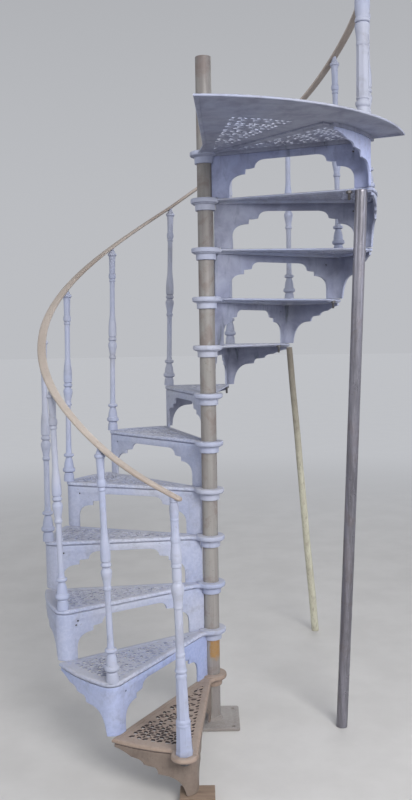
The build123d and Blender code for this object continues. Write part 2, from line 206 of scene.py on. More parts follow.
def lathe(profile, seg=40, shape=None, wear_and_shade=None):
    """Profile of (radius, z), closed by a point at each end where the radius is 0. shape(z, angle) scales the radius."""
    v, f, w = [], [], []
    rows = []
    for r, z in profile:
        if r < 1e-6:
            rows.append([len(v)])
            v.append((0, 0, z))
            w.append(0.0)
            continue
        row = []
        for i in range(seg):
            a = 2 * math.pi * i / seg
            k = shape(z, a) if shape else 1.0
            row.append(len(v))
            v.append((r * k * math.cos(a), r * k * math.sin(a), z))
            w.append(wear_and_shade(r, z) if wear_and_shade else 0.0)
        rows.append(row)
    for p, q in zip(rows, rows[1:]):
        for i in range(seg):
            j = (i + 1) % seg
            if len(p) == 1 and len(q) == 1:
                continue
            if len(p) == 1:
                f.append((p[0], q[j], q[i]))
            elif len(q) == 1:
                f.append((p[i], p[j], q[0]))
            else:
                f.append((p[i], p[j], q[j], q[i]))
    return Geo().add(v, f, w)


def lathe_ring(profile, seg=56):
    """Closed profile turned about Z."""
    v, f = [], []
    m = len(profile)
    for i in range(seg):
        a = 2 * math.pi * i / seg
        v += [(r * math.cos(a), r * math.sin(a), z) for r, z in profile]
    for i in range(seg):
        for j in range(m):
            a, b = i * m + j, i * m + (j + 1) % m
            c, d = ((i + 1) % seg) * m + (j + 1) % m, ((i + 1) % seg) * m + j
            f.append((a, b, c, d))
    return Geo().add(v, f)


def smooth_profile(pts, steps=3):
    """Rounds a turned profile: a point written with a third value of 1 stays sharp."""
    out = []
    n = len(pts)
    for i, p in enumerate(pts):
        if i in (0, n - 1) or (len(p) > 2 and p[2]):
            out.append((p[0], p[1]))
            continue
        a, c = pts[i - 1], pts[i + 1]
        e0 = ((a[0] + p[0]) / 2, (a[1] + p[1]) / 2)
        e1 = ((c[0] + p[0]) / 2, (c[1] + p[1]) / 2)
        for s in range(steps + 1):
            t = s / steps
            x = (1 - t) ** 2 * e0[0] + 2 * t * (1 - t) * p[0] + t * t * e1[0]
            z = (1 - t) ** 2 * e0[1] + 2 * t * (1 - t) * p[1] + t * t * e1[1]
            out.append((x, z))
    return dedupe(out, 0.02) if pts[0] != pts[-1] else out


def plate(loops, z0, z1, bevel=0.8, res=0, hole_wall_shade=0.0):
    """Solid between two heights from an outline and its holes, with its edges broken by a small chamfer, or rounded."""
    steps = [(bevel, 0.0), (0.0, bevel)] if not res else [(bevel, 0.0), (bevel * 0.3, bevel * 0.3), (0.0, bevel)]
    g = Geo()
    flat, spans = [], []
    for i, pts in enumerate(loops):
        pts = dedupe(pts)
        turn = sum(p[0] * q[1] - q[0] * p[1] for p, q in zip(pts, pts[1:] + pts[:1]))
        # outline counter-clockwise, holes clockwise, so that the chamfer always cuts into the solid
        if (turn > 0) != (i == 0):
            pts = pts[::-1]
        rows = [(inset(pts, d) if d else pts, z1 - z) for d, z in steps] + [(inset(pts, d) if d else pts, z0 + z) for d, z in reversed(steps)]
        base, n = len(g.v), len(pts)
        v = [(x, y, z) for ring, z in rows for x, y in ring]
        f = []
        for r in range(len(rows) - 1):
            for k in range(n):
                f.append((r * n + k, (r + 1) * n + k, (r + 1) * n + (k + 1) % n, r * n + (k + 1) % n))
        # painted shade: the walls of the holes get the given value as a negative, which the paint darkens
        painted_shade = [0.0] * len(v) if i == 0 or not hole_wall_shade else [0.0] * n + [-hole_wall_shade] * (len(v) - n)
        g.add(v, f, painted_shade)
        spans.append((len(flat), n, base, base + (len(rows) - 1) * n))
        flat += [Vector(q) for q in rows[0][0]]
    edges, faces = [], []
    for i, (o, n, _, _) in enumerate(spans):
        edges += [(o + k, o + (k + 1) % n) for k in range(n)]
        ring = list(range(o, o + n))
        faces.append(ring if i == 0 else ring[::-1])
    top, bottom = {}, {}
    for o, n, a, b in spans:
        for k in range(n):
            top[o + k], bottom[o + k] = a + k, b + k
    _, _, tris, came, _, inside = delaunay_2d_cdt(flat, edges, faces, 1, 1e-5)
    for tri, own in zip(tris, inside):
        if list(own) != [0]:
            continue
        ids = [came[q][0] for q in tri]
        g.f.append(tuple(top[q] for q in ids))
        g.f.append(tuple(bottom[q] for q in reversed(ids)))
    return g


def cut_every(g, axis, lo, hi, step):
    """Cuts a solid by parallel planes, so that it can be bent."""
    mesh = bpy.data.meshes.new("tmp")
    mesh.from_pydata(g.v, [], g.f)
    bm = bmesh.new()
    bm.from_mesh(mesh)
    no = Vector((0, 0, 0))
    no[axis] = 1.0
    x = lo + step
    while x < hi - 1e-6:
        co = Vector((0, 0, 0))
        co[axis] = x
        bmesh.ops.bisect_plane(bm, geom=list(bm.verts) + list(bm.edges) + list(bm.faces), plane_co=co, plane_no=no, dist=0.01)
        x += step
    out = Geo()
    for i, q in enumerate(bm.verts):
        q.index = i
    out.add([tuple(q.co) for q in bm.verts], [tuple(q.index for q in fc.verts) for fc in bm.faces])
    bm.free()
    bpy.data.meshes.remove(mesh)
    return out


def tube_path(points, section, up=Vector((0, 0, 1)), round_ends=True):
    """Section (list of (u, v)) carried along points; u lies level, v points up. The ends are rounded."""
    v, f = [], []
    m = len(section)
    n = len(points)
    rings = []
    for i, p in enumerate(points):
        a, b = points[max(0, i - 1)], points[min(n - 1, i + 1)]
        t = (b - a).normalized()
        side = t.cross(up).normalized()
        top = side.cross(t).normalized()
        rings.append((p, t, side, top))
    full = []
    if round_ends:
        p, t, s, u = rings[0]
        for q in (0.0, 0.35, 0.62, 0.82, 0.94):
            full.append((p - t * (1 - q) * 11 if q < 1 else p, s, u, math.sqrt(max(0.02, 1 - (1 - q) ** 2.2)) if q > 0 else 0.30))
    for p, t, s, u in rings:
        full.append((p, s, u, 1.0))
    if round_ends:
        p, t, s, u = rings[-1]
        for q in (0.94, 0.82, 0.62, 0.35, 0.0):
            full.append((p + t * (1 - q) * 11, s, u, math.sqrt(max(0.02, 1 - (1 - q) ** 2.2)) if q > 0 else 0.30))
    for p, s, u, k in full:
        v += [tuple(p + s * (a * k) + u * (b * k)) for a, b in section]
    for i in range(len(full) - 1):
        for j in range(m):
            f.append((i * m + j, i * m + (j + 1) % m, (i + 1) * m + (j + 1) % m, (i + 1) * m + j))
    f.append(tuple(range(m)))
    f.append(tuple((len(full) - 1) * m + j for j in range(m)))
    return Geo().add(v, f)


# ------------------------------------------------------------------
# Materials
# ------------------------------------------------------------------
class Nodes:
    def __init__(self, name):
        self.mat = bpy.data.materials.new(name)
        self.mat.use_nodes = True
        self.t = self.mat.node_tree
        self.t.nodes.clear()
        self.out = self.t.nodes.new("ShaderNodeOutputMaterial")
        self.p = self.t.nodes.new("ShaderNodeBsdfPrincipled")
        self.t.links.new(self.p.outputs[0], self.out.inputs[0])
        self.co = self.t.nodes.new("ShaderNodeTexCoord").outputs["Object"]

    def link(self, a, b):
        self.t.links.new(a, b)

    def scaled(self, x, y, z, rot=(0, 0, 0)):
        m = self.t.nodes.new("ShaderNodeMapping")
        m.inputs["Scale"].default_value = (x, y, z)
        m.inputs["Rotation"].default_value = rot
        self.link(self.co, m.inputs["Vector"])
        return m.outputs[0]

    def noise(self, scale, detail=4.0, rough=0.55, co=None, distort=0.0):
        n = self.t.nodes.new("ShaderNodeTexNoise")
        n.inputs["Scale"].default_value = scale
        n.inputs["Detail"].default_value = detail
        n.inputs["Roughness"].default_value = rough
        n.inputs["Distortion"].default_value = distort
        self.link(co or self.co, n.inputs["Vector"])
        return n.outputs["Fac"]

    def wave(self, scale, distort, detail, co=None, bands="X"):
        n = self.t.nodes.new("ShaderNodeTexWave")
        n.bands_direction = bands
        n.inputs["Scale"].default_value = scale
        n.inputs["Distortion"].default_value = distort
        n.inputs["Detail"].default_value = detail
        self.link(co or self.co, n.inputs["Vector"])
        return n.outputs["Fac"]

    def voronoi(self, scale, co=None, feature="F1"):
        n = self.t.nodes.new("ShaderNodeTexVoronoi")
        n.feature = feature
        n.inputs["Scale"].default_value = scale
        self.link(co or self.co, n.inputs["Vector"])
        return n.outputs["Distance"]

    def ramp(self, fac, lo, hi, a=0.0, b=1.0, smooth=True):
        n = self.t.nodes.new("ShaderNodeMapRange")
        n.interpolation_type = "SMOOTHSTEP" if smooth else "LINEAR"
        n.inputs["From Min"].default_value = lo
        n.inputs["From Max"].default_value = hi
        n.inputs["To Min"].default_value = a
        n.inputs["To Max"].default_value = b
        self.link(fac, n.inputs["Value"])
        return n.outputs["Result"]

    def math(self, op, a, b=None):
        n = self.t.nodes.new("ShaderNodeMath")
        n.operation = op
        for i, x in enumerate((a, b)):
            if x is None:
                continue
            if isinstance(x, (int, float)):
                n.inputs[i].default_value = x
            else:
                self.link(x, n.inputs[i])
        return n.outputs[0]

    def mix(self, fac, a, b, mode="MIX"):
        n = self.t.nodes.new("ShaderNodeMix")
        n.data_type = "RGBA"
        n.blend_type = mode
        for i, x in ((0, fac), (6, a), (7, b)):
            if isinstance(x, (int, float)):
                n.inputs[i].default_value = x
            elif isinstance(x, tuple):
                n.inputs[i].default_value = (*x, 1.0)
            else:
                self.link(x, n.inputs[i])
        return n.outputs[2]

    def up(self):
        g = self.t.nodes.new("ShaderNodeNewGeometry")
        s = self.t.nodes.new("ShaderNodeSeparateXYZ")
        self.link(g.outputs["Normal"], s.inputs[0])
        return s.outputs[2]

    def pos(self):
        s = self.t.nodes.new("ShaderNodeSeparateXYZ")
        self.link(self.co, s.inputs[0])
        return s.outputs

    def wear_and_shade(self):
        a = self.t.nodes.new("ShaderNodeAttribute")
        a.attribute_name = "wear_and_shade"
        return a.outputs["Fac"]

    def bump(self, pairs):
        """(height, distance in metres, strength) from broad to fine."""
        last = None
        for h, dist, strength in pairs:
            b = self.t.nodes.new("ShaderNodeBump")
            b.inputs["Distance"].default_value = dist
            b.inputs["Strength"].default_value = strength
            self.link(h, b.inputs["Height"])
            if last is not None:
                self.link(last, b.inputs["Normal"])
            last = b.outputs["Normal"]
        self.link(last, self.p.inputs["Normal"])

    def finish(self, color, rough, metal=0.0, spec=0.5):
        self.link(color, self.p.inputs["Base Color"])
        self.link(rough, self.p.inputs["Roughness"])
        self.p.inputs["Metallic"].default_value = metal
        self.p.inputs["Specular IOR Level"].default_value = spec
        return self.mat


def paint_material(name, tone_a, tone_b, dust, dirt_and_shade, bare, wear_gain=1.0, painted_shade=(0.15, 0.145, 0.19)):
    n = Nodes(name)
    broad = n.noise(2.1, 3.0, 0.5)
    patch = n.noise(11.0, 6.0, 0.62, distort=0.4)
    fine = n.noise(75.0, 5.0, 0.6)
    grain = n.noise(420.0, 3.0, 0.6)
    streak = n.noise(1.0, 4.0, 0.6, co=n.scaled(60, 60, 5))
    c = n.mix(n.ramp(broad, 0.35, 0.65), tone_a, tone_b)
    # thin places in the coat, and soft smudges from handling
    c = n.mix(n.ramp(patch, 0.50, 0.72, 0.0, 0.35), c, dirt_and_shade)
    c = n.mix(n.ramp(streak, 0.56, 0.78, 0.0, 0.22), c, dirt_and_shade)
    # dust lies on what faces up
    lying = n.math("MULTIPLY", n.ramp(n.up(), 0.55, 0.95), n.ramp(fine, 0.30, 0.75, 0.25, 0.85))
    c = n.mix(n.math("MULTIPLY", lying, 0.62), c, dust)
    # small pits and specks
    c = n.mix(n.ramp(fine, 0.66, 0.74, 0.0, 0.45), c, dirt_and_shade)
    # painted shade: faces turned down, hole walls and inner faces (negative values of the attribute) are darkened
    # towards a shade tone
    raw = n.wear_and_shade()
    under = n.math("MULTIPLY", n.ramp(n.up(), -0.25, -0.85), n.ramp(patch, 0.30, 0.70, 0.45, 0.75))
    c = n.mix(n.math("MAXIMUM", under, n.math("MULTIPLY", n.ramp(raw, -0.05, -0.5), n.ramp(patch, 0.30, 0.70, 0.45, 0.75))), c, painted_shade)
    # dark run-down streaks of stain, laid only on the inner faces that carry painted shade, so that they deepen that
    # shade as well
    run = n.math("MULTIPLY", n.ramp(n.noise(1.0, 5.0, 0.65, co=n.scaled(30, 30, 6), distort=0.8), 0.52, 0.70), n.ramp(broad, 0.40, 0.62))
    c = n.mix(n.math("MULTIPLY", n.math("MULTIPLY", n.ramp(raw, -0.25, -0.5), run), 0.75), c, tuple(x * y for x, y in zip(dirt_and_shade, (0.35, 0.45, 0.50))))
    # painted shade: the most strongly marked hole walls go nearly black
    c = n.mix(n.math("MULTIPLY", n.ramp(raw, -0.55, -0.9), 0.80), c, tuple(x * 0.28 for x in dirt_and_shade))
    # rubbed edges, down to bare metal in spots
    w = n.math("MAXIMUM", raw, 0.0)
    rub = n.math("MULTIPLY", w, n.ramp(fine, 0.42, 0.60))
    c = n.mix(n.math("MULTIPLY", rub, 0.42 * wear_gain), c, tuple(min(1.0, x * 1.25 + 0.05) for x in tone_b))
    chip = n.math("MULTIPLY", n.math("ADD", n.math("MULTIPLY", w, 0.55), 0.18), n.ramp(n.noise(38.0, 6.0, 0.7), 0.64, 0.69))
    c = n.mix(n.math("MULTIPLY", chip, 0.8 * wear_gain), c, bare)
    rough = n.math("ADD", n.ramp(patch, 0.3, 0.7, 0.50, 0.66, smooth=False), n.math("MULTIPLY", lying, 0.16))
    n.bump([(broad, 0.004, 0.25), (patch, 0.0016, 0.35), (fine, 0.0005, 0.40), (grain, 0.00018, 0.45)])
    return n.finish(c, rough, 0.0, 0.42)


CAST = paint_material("cast_paint", (0.370, 0.410, 0.570), (0.440, 0.460, 0.555), (0.47, 0.45, 0.445), (0.215, 0.205, 0.225), (0.085, 0.06, 0.048),
                      painted_shade=(0.155, 0.165, 0.245))
# painted light: violet and blue copies of the casting paint, standing in for the cool light on the top and second
# brackets
CAST_PAINTED_VIOLET_LIGHT = paint_material("cast_paint_painted_violet_light", (0.420, 0.475, 0.760), (0.480, 0.520, 0.730), (0.47, 0.45, 0.445), (0.210, 0.205, 0.245), (0.085, 0.06, 0.048),
                          painted_shade=(0.170, 0.190, 0.300))
CAST_PAINTED_BLUE_LIGHT = paint_material("cast_paint_painted_blue_light", (0.320, 0.385, 0.640), (0.385, 0.430, 0.615), (0.47, 0.45, 0.445), (0.200, 0.200, 0.240), (0.085, 0.06, 0.048),
                           painted_shade=(0.155, 0.170, 0.265))
# painted shade: a darker copy of the rusty primer for the first bracket, under its tread
PRIMER_PAINTED_SHADE_LEG = paint_material("rusty_primer_leg_painted_shade", (0.215, 0.170, 0.143), (0.165, 0.127, 0.106), (0.30, 0.258, 0.230), (0.07, 0.05, 0.04), (0.13, 0.055, 0.03), 1.3)
PLATE = paint_material("dusty_plate", (0.300, 0.275, 0.262), (0.245, 0.220, 0.208), (0.44, 0.42, 0.41), (0.13, 0.105, 0.09), (0.15, 0.075, 0.045), 0.8)
PRIMER = paint_material("rusty_primer", (0.330, 0.255, 0.210), (0.275, 0.200, 0.160), (0.42, 0.365, 0.320), (0.12, 0.08, 0.06), (0.16, 0.065, 0.03), 1.3)


def rail_material():
    n = Nodes("rail_oxide")
    broad = n.noise(3.0, 3.0, 0.5)
    patch = n.noise(16.0, 6.0, 0.6)
    fine = n.noise(110.0, 4.0, 0.6)
    c = n.mix(n.ramp(broad, 0.35, 0.65), (0.455, 0.395, 0.350), (0.350, 0.290, 0.250))
    c = n.mix(n.ramp(patch, 0.48, 0.68, 0.0, 0.45), c, (0.35, 0.29, 0.245))
    # painted shade: faces turned down are darker
    c = n.mix(n.math("MULTIPLY", n.ramp(n.up(), -0.2, -0.8), 0.55), c, (0.15, 0.125, 0.115))
    # painted light: faces turned up are paler
    up = n.ramp(n.up(), 0.35, 0.9)
    c = n.mix(n.math("MULTIPLY", up, 0.42), c, (0.54, 0.48, 0.43))
    c = n.mix(n.ramp(fine, 0.60, 0.72, 0.0, 0.5), c, (0.19, 0.13, 0.10))
    rough = n.ramp(patch, 0.3, 0.7, 0.42, 0.62)
    n.bump([(patch, 0.001, 0.3), (fine, 0.0004, 0.35)])
    return n.finish(c, rough, 0.0, 0.5)


def steel_material(name, base_a, base_b, rust, rust_amount, scale_z, rough_lo, rough_hi, metal=0.35, mark=None, fade=None):
    n = Nodes(name)
    long_ = n.noise(1.0, 5.0, 0.6, co=n.scaled(22, 22, scale_z))
    fibre = n.noise(1.0, 4.0, 0.65, co=n.scaled(190, 190, scale_z * 4))
    patch = n.noise(9.0, 7.0, 0.66, distort=0.6)
    fine = n.noise(130.0, 4.0, 0.6)
    c = n.mix(n.ramp(long_, 0.35, 0.65), base_a, base_b)
    c = n.mix(n.ramp(fibre, 0.45, 0.75, 0.0, 0.45), c, tuple(x * 1.45 for x in base_b))
    c = n.mix(n.math("MULTIPLY", n.ramp(patch, 0.50, 0.64), rust_amount), c, rust)
    c = n.mix(n.ramp(fine, 0.62, 0.74, 0.0, 0.55), c, tuple(x * 0.35 for x in base_a))
    if fade:
        # darker towards the top
        z0, z1, low = fade
        c = n.mix(n.ramp(n.pos()[2], z0, z1, 0.0, 1.0 - low), c, tuple(x * 0.12 for x in base_b))
    if mark:
        z0, z1, x0, x1, col = mark
        px, py, pz = n.pos()
        wob = n.math("MULTIPLY", n.math("SUBTRACT", n.noise(40.0, 4.0, 0.6), 0.5), 0.05)
        zz = n.math("ADD", pz, wob)
        band = n.math("MULTIPLY", n.ramp(zz, z0, z0 + 0.03), n.ramp(zz, z1, z1 - 0.006))
        xx = n.math("ADD", px, n.math("MULTIPLY", wob, 0.3))
        band = n.math("MULTIPLY", band, n.math("MULTIPLY", n.ramp(xx, x0 - 0.004, x0 + 0.004), n.ramp(py, 0.012, -0.004)))
        c = n.mix(n.math("MULTIPLY", band, n.ramp(fine, 0.25, 0.6, 0.65, 1.0)), c, col)
    rough = n.ramp(patch, 0.3, 0.7, rough_lo, rough_hi)
    n.bump([(long_, 0.0015, 0.25), (patch, 0.0009, 0.4), (fine, 0.0004, 0.4)])
    return n.finish(c, rough, metal, 0.5)


COLUMN = steel_material("column_scale", (0.325, 0.315, 0.298), (0.248, 0.226, 0.220), (0.215, 0.155, 0.142), 0.50, 1.6, 0.40, 0.60, metal=0.12, fade=(0.45, 1.6, 0.84),
                        mark=(0.285, 0.388, -0.010, 0.03, (0.36, 0.205, 0.075)))
POST = steel_material("post_scale", (0.190, 0.184, 0.208), (0.310, 0.302, 0.350), (0.17, 0.115, 0.09), 0.22, 1.1, 0.26, 0.44, metal=0.75)
# painted shade: near-black steel for the bolt ends sunk in the riser holes
BOLT_PAINTED_SHADE = steel_material("bolt_black_painted_shade", (0.035, 0.032, 0.032), (0.060, 0.055, 0.054), (0.09, 0.045, 0.028), 0.5, 20.0, 0.5, 0.7, metal=0.3)
BOLT = steel_material("bolt_grey", (0.095, 0.095, 0.102), (0.150, 0.150, 0.158), (0.10, 0.07, 0.055), 0.3, 20.0, 0.4, 0.6, metal=0.4)


def wood_material(name, a, b, dark, along, rough=0.75, top_darkening=None):
    """along: the direction of the grain, 0 X, 1 Y, 2 Z."""
    n = Nodes(name)
    s = [26.0, 26.0, 26.0]
    s[along] = 1.6
    fib = n.noise(1.0, 6.0, 0.65, co=n.scaled(*[x * 5 for x in s]))
    ring = n.noise(1.0, 3.0, 0.5, co=n.scaled(*s), distort=1.2)
    patch = n.noise(14.0, 5.0, 0.6)
    c = n.mix(n.ramp(ring, 0.32, 0.68), a, b)
    c = n.mix(n.ramp(fib, 0.50, 0.72, 0.0, 0.55), c, dark)
    c = n.mix(n.ramp(patch, 0.56, 0.74, 0.0, 0.5), c, dark)
    if top_darkening:
        # darker towards the upper end
        z0, z1, col = top_darkening
        c = n.mix(n.ramp(n.math("ADD", n.pos()[2], n.math("MULTIPLY", patch, 0.3)), z0, z1, 0.0, 0.9), c, col)
    n.bump([(ring, 0.001, 0.3), (fib, 0.0007, 0.55)])
    r = n.ramp(fib, 0.3, 0.7, rough - 0.08, rough + 0.1)
    return n.finish(c, r, 0.0, 0.35)


PROP = wood_material("prop_timber", (0.62, 0.61, 0.49), (0.52, 0.50, 0.40), (0.22, 0.19, 0.15), 2, top_darkening=(0.95, 1.85, (0.190, 0.165, 0.140)))
BLOCK = wood_material("block_timber", (0.315, 0.235, 0.178), (0.235, 0.170, 0.128), (0.10, 0.07, 0.05), 0, 0.8)
RAIL = rail_material()

# ------------------------------------------------------------------
# Outline of a tread casting, in its own frame, counter-clockwise
# ------------------------------------------------------------------


def rot(p, a):
    c, s = math.cos(rad(a)), math.sin(rad(a))
    return (p[0] * c - p[1] * s, p[0] * s + p[1] * c)


F1X = math.sqrt((LIP_R + HUB_F) ** 2 - HUB_F ** 2)
F2X = math.sqrt((LIP_R + HUB_F) ** 2 - (HUB_F + BACK_OVER) ** 2)


def lobe_cross(c, rl, r):
    """Angle on the circle r about the axis where a lobe circle leaves it, on the far side from the nosing."""
    d = math.hypot(*c)
    ac = math.degrees(math.atan2(c[1], c[0]))
    return ac - math.degrees(math.acos((r * r + d * d - rl * rl) / (2 * r * d)))


def tread_outline(lobe_c, lobe_r):
    c1 = (F1X, HUB_F)
    c2 = rot((F2X, -(HUB_F + BACK_OVER)), -TURN)
    phi1 = math.degrees(math.atan2(c1[1], c1[0]))
    phi2 = math.degrees(math.atan2(c2[1], c2[0])) + 360
    pts = arc((0, 0), LIP_R, phi1, phi2, 44)
    pts += arc(c2, HUB_F, phi2 - 180, 90 - TURN, 9)
    bc = rot((math.sqrt(TREAD_R ** 2 - BACK_OVER ** 2), -BACK_OVER), -TURN)
    b0 = rot((F2X, -BACK_OVER), -TURN)
    pts += line(b0, bc, 8)
    th0 = math.degrees(math.atan2(bc[1], bc[0]))
    th1 = lobe_cross(lobe_c, lobe_r, TREAD_R)
    pts += [pts[-1]] + arc((0, 0), TREAD_R, th0, th1, 26)[3:]
    p = polar(TREAD_R, th1)
    a0 = math.degrees(math.atan2(p[1] - lobe_c[1], p[0] - lobe_c[0]))
    h = math.sqrt(max(0.0, lobe_r ** 2 - lobe_c[1] ** 2))
    a1 = math.degrees(math.atan2(-lobe_c[1], -h))
    first = len(pts)
    pts += arc(lobe_c, lobe_r, a0, a1, 26)
    last = len(pts)
    pts += line((lobe_c[0] - h, 0), (F1X, 0), 14)
    pts += arc(c1, HUB_F, -90, -180 + phi1, 9)
    # soften the two hollows where the lobe joins
    for j, span in ((first, 5), (last, 4)):
        for _ in range(6):
            new = list(pts)
            for i in range(j - span, j + span + 1):
                if 0 < i < len(pts) - 1:
                    a, b, c = pts[i - 1], pts[i], pts[i + 1]
                    new[i] = ((a[0] + 2 * b[0] + c[0]) / 4, (a[1] + 2 * b[1] + c[1]) / 4)
            pts = new
    return dedupe(pts, 0.4)


RIM = [(24, 0), (10.5, 0), (7.2, -0.5), (4.4, -1.8), (2.2, -4.0), (0.7, -6.9), (0.1, -10.0), (0.5, -12.8), (1.9, -15.3), (4.2, -16.9),
       (7.4, -17.3), (8.4, -17.6), (8.6, -20), (22, -20), (24, -18)]
HUB = [(35.4, 4.6), (58.5, 4.6), (61.5, 3.8), (63.6, 1.8), (64.4, -1.5), (64.6, -5.0), (64.4, -9.5), (63.0, -13.0), (60.5, -15.6), (56.0, -17.2),
       (50.0, -18.4), (46.8, -20.5), (45.2, -23.5), (44.4, -27.0), (44.2, -44.0), (43.4, -46.8), (41.2, -48), (35.4, -48)]


# ------------------------------------------------------------------
# Piercing: holes in rows, each a shape in (outward, sideways) from a point at (radius, angle)
# ------------------------------------------------------------------


def hole(r, a, pts, tilt=0.0, do=0.0, ds=0.0):
    ct, st = math.cos(rad(tilt)), math.sin(rad(tilt))
    out = []
    for o, s in pts:
        o, s = o * ct - s * st + do, o * st + s * ct + ds
        out.append(polar(r + o, a + math.degrees(s / (r + o))))
    return out


def h_circle(d, n=12):
    return [(d / 2 * math.cos(2 * math.pi * i / n), d / 2 * math.sin(2 * math.pi * i / n)) for i in range(n)]


def h_almond(length, width, fat=1.0, n=6):
    up = []
    for i in range(n + 1):
        t = -1 + 2 * i / n
        up.append((t * length / 2, width / 2 * (1 - abs(t) ** (1.6 * fat)) ** 0.9))
    return up + [(x, -y) for x, y in reversed(up[1:-1])]


def h_drop(length, width, n=7):
    """Teardrop with its point inwards."""
    pts = [(-length / 2, 0)]
    r = width / 2
    for i in range(n + 1):
        a = rad(-105 + 210 * i / n)
        pts.append((length / 2 - r + r * math.cos(a), r * math.sin(a)))
    return pts


def h_star(size, n=4, inner=0.36):
    return [((size if i % 2 == 0 else size * inner) * math.cos(math.pi * i / n), (size if i % 2 == 0 else size * inner) * math.sin(math.pi * i / n)) for i in range(2 * n)]


def pierce(a_near, a_far, nose_margin, back_margin, r_max=664.0, r_min=108.0, border=True):
    """Cast lattice between two radial lines: rosettes of four leaves round a ringed hole, and a border of ringed holes along
    the nosing. Returns the holes and the centres of the raised rings as (x, y, hole radius)."""
    holes, rings = [], []
    wide = 21.0 if border else 0.0

    def lim(r, extra=0.0):
        return (a_near - math.degrees(math.asin(min(0.95, (nose_margin + extra) / r))),
                a_far + math.degrees(math.asin(min(0.95, back_margin / r))))

    if border:
        ca, sa = math.cos(rad(a_near)), math.sin(rad(a_near))

        def turned(pts):
            return [(x * ca - y * sa, x * sa + y * ca) for x, y in pts]
        for i in range(10):
            x = 150.0 + 56.5 * i
            if x > r_max - 6:
                continue
            y = -nose_margin - 7.5
            holes.append(turned([(x + q[0], y + q[1]) for q in h_circle(12.5, 12)]))
            rings.append((*turned([(x, y)])[0], 6.25))
            # a leaning drop between two rings
            if x + 28 < r_max - 8:
                c, w = math.cos(rad(-28)), math.sin(rad(-28))
                holes.append(turned([(x + 28.2 + q[0] * c - q[1] * w, y - 1.0 + q[0] * w + q[1] * c) for q in h_drop(27, 13.0)]))
    rows = [(r_max - 25.0 - 52.0 * i, 52.0) for i in range(8)] + [(r_max - 439.0, 50.0), (r_max - 487.0, 46.0), (r_max - 528.0, 36.0), (r_max - 559.0, 28.0)]
    for r0, h in rows:
        if r0 + h / 2 > r_max + 4:
            continue
        a0, a1 = lim(r0, wide)
        width = rad(abs(a1 - a0)) * r0
        if a1 > a0 or width < 9:
            continue
        if width < 34:
            a = (a0 + a1) / 2
            if width > 16:
                holes.append(hole(r0, a, h_almond(h * 0.62, min(13.0, width - 9), 1.4)))
                holes.append(hole(r0 - h * 0.5, a, h_circle(min(8.0, width - 8), 9)))
            else:
                holes.append(hole(r0, a, h_circle(min(9.0, width - 2), 9)))
            continue
        n = max(1, round(width / 52.0))
        w = width / n
        small = min(w, h)
        for i in range(n):
            a = a0 + (a1 - a0) * (i + 0.5) / n
            d = min(15.0, 0.19 * small)
            holes.append(hole(r0, a, h_circle(d, 10)))
            c = polar(r0, a)
            rings.append((c[0], c[1], d / 2))
            tilt = math.degrees(math.atan2(w, h))
            for so, ss in ((1, 1), (1, -1), (-1, 1), (-1, -1)):
                holes.append(hole(r0, a, h_almond(0.350 * math.hypot(w, h), 0.325 * small, 1.15, 6), tilt=tilt * so * ss, do=so * h * 0.280, ds=ss * w * 0.280))
            holes.append(hole(r0 - h / 2, a, h_almond(0.40 * w, 0.175 * h, 1.2, 6), tilt=90))
            if r0 > r_max - 30:
                holes.append(hole(r0 + h / 2 - 6.5, a, h_almond(0.42 * w, 0.14 * h, 1.2, 6), tilt=90))
        for i in range(n + 1):
            a = a0 + (a1 - a0) * i / n
            if 0 < i < n:
                holes.append(hole(r0, a, h_almond(0.40 * h, min(13.0, 0.175 * w), 1.2, 6)))
            else:
                side = 7.5 if i == 0 else -7.5
                holes.append(hole(r0, a, h_almond(0.36 * h, 8.0, 1.2), ds=-side))
    good = []
    for pts in holes:
        ok = True
        for x, y in pts:
            r, a = math.hypot(x, y), math.degrees(math.atan2(y, x))
            a0, a1 = lim(r)
            slack = math.degrees(1.5 / r)
            if not (r_min < r < r_max + 3 and a1 - slack <= a <= a0 + slack):
                ok = False
        cx, cy = sum(p[0] for p in pts) / len(pts), sum(p[1] for p in pts) / len(pts)
        reach = max(math.hypot(p[0] - cx, p[1] - cy) for p in pts)
        for other, ox, oy, far in good:
            if not ok:
                break
            if math.hypot(cx - ox, cy - oy) > reach + far + 2.4:
                continue
            if min(math.hypot(p[0] - q[0], p[1] - q[1]) for p in pts for q in other) < 2.4:
                ok = False
        if ok:
            good.append((pts, cx, cy, reach))
    kept = [(x, y, r) for x, y, r in rings if any(math.hypot(x - cx, y - cy) < 1.0 for _, cx, cy, _ in good)]
    return [q[0] for q in good], kept


def ring_geo(rings, z):
    """Low raised rims round the ringed holes."""
    g = Geo()
    for x, y, r in rings:
        prof = [(r + 0.2, z - 0.6), (r + 0.5, z + 0.5), (r + 1.6, z + 1.1), (r + 3.2, z + 1.0), (r + 4.3, z + 0.1), (r + 4.5, z - 0.6)]
        one = lathe_ring(prof, 14)
        one.v = [(a + x, b + y, c) for a, b, c in one.v]
        g.add(one.v, one.f, [0.6] * len(one.v))
    return g


# ------------------------------------------------------------------
# Treads
# ------------------------------------------------------------------


def nose_wear(path):
    def f(i, j, p):
        if not (2 <= j <= 8):
            return 0.0
        near = math.exp(-(p[1] / 10.0) ** 2) if p[0] > 90 else 0.25
        edge = 0.55 if math.hypot(*p) > 700 else 0.0
        return min(1.0, max(near, edge))
    return f


def back_depth(i, p):
    """The rim is deep along the nosing and the outer arc, thin along the back edge."""
    off = -(p[0] * math.sin(rad(TURN)) + p[1] * math.cos(rad(TURN)))
    if off < BACK_OVER - 9.0 or math.hypot(*p) < LIP_R + 6:
        return 1.0
    t = min(1.0, max(0.0, (TREAD_R - 1.0 - math.hypot(*p)) / 26.0))
    return 1.0 - 0.45 * t


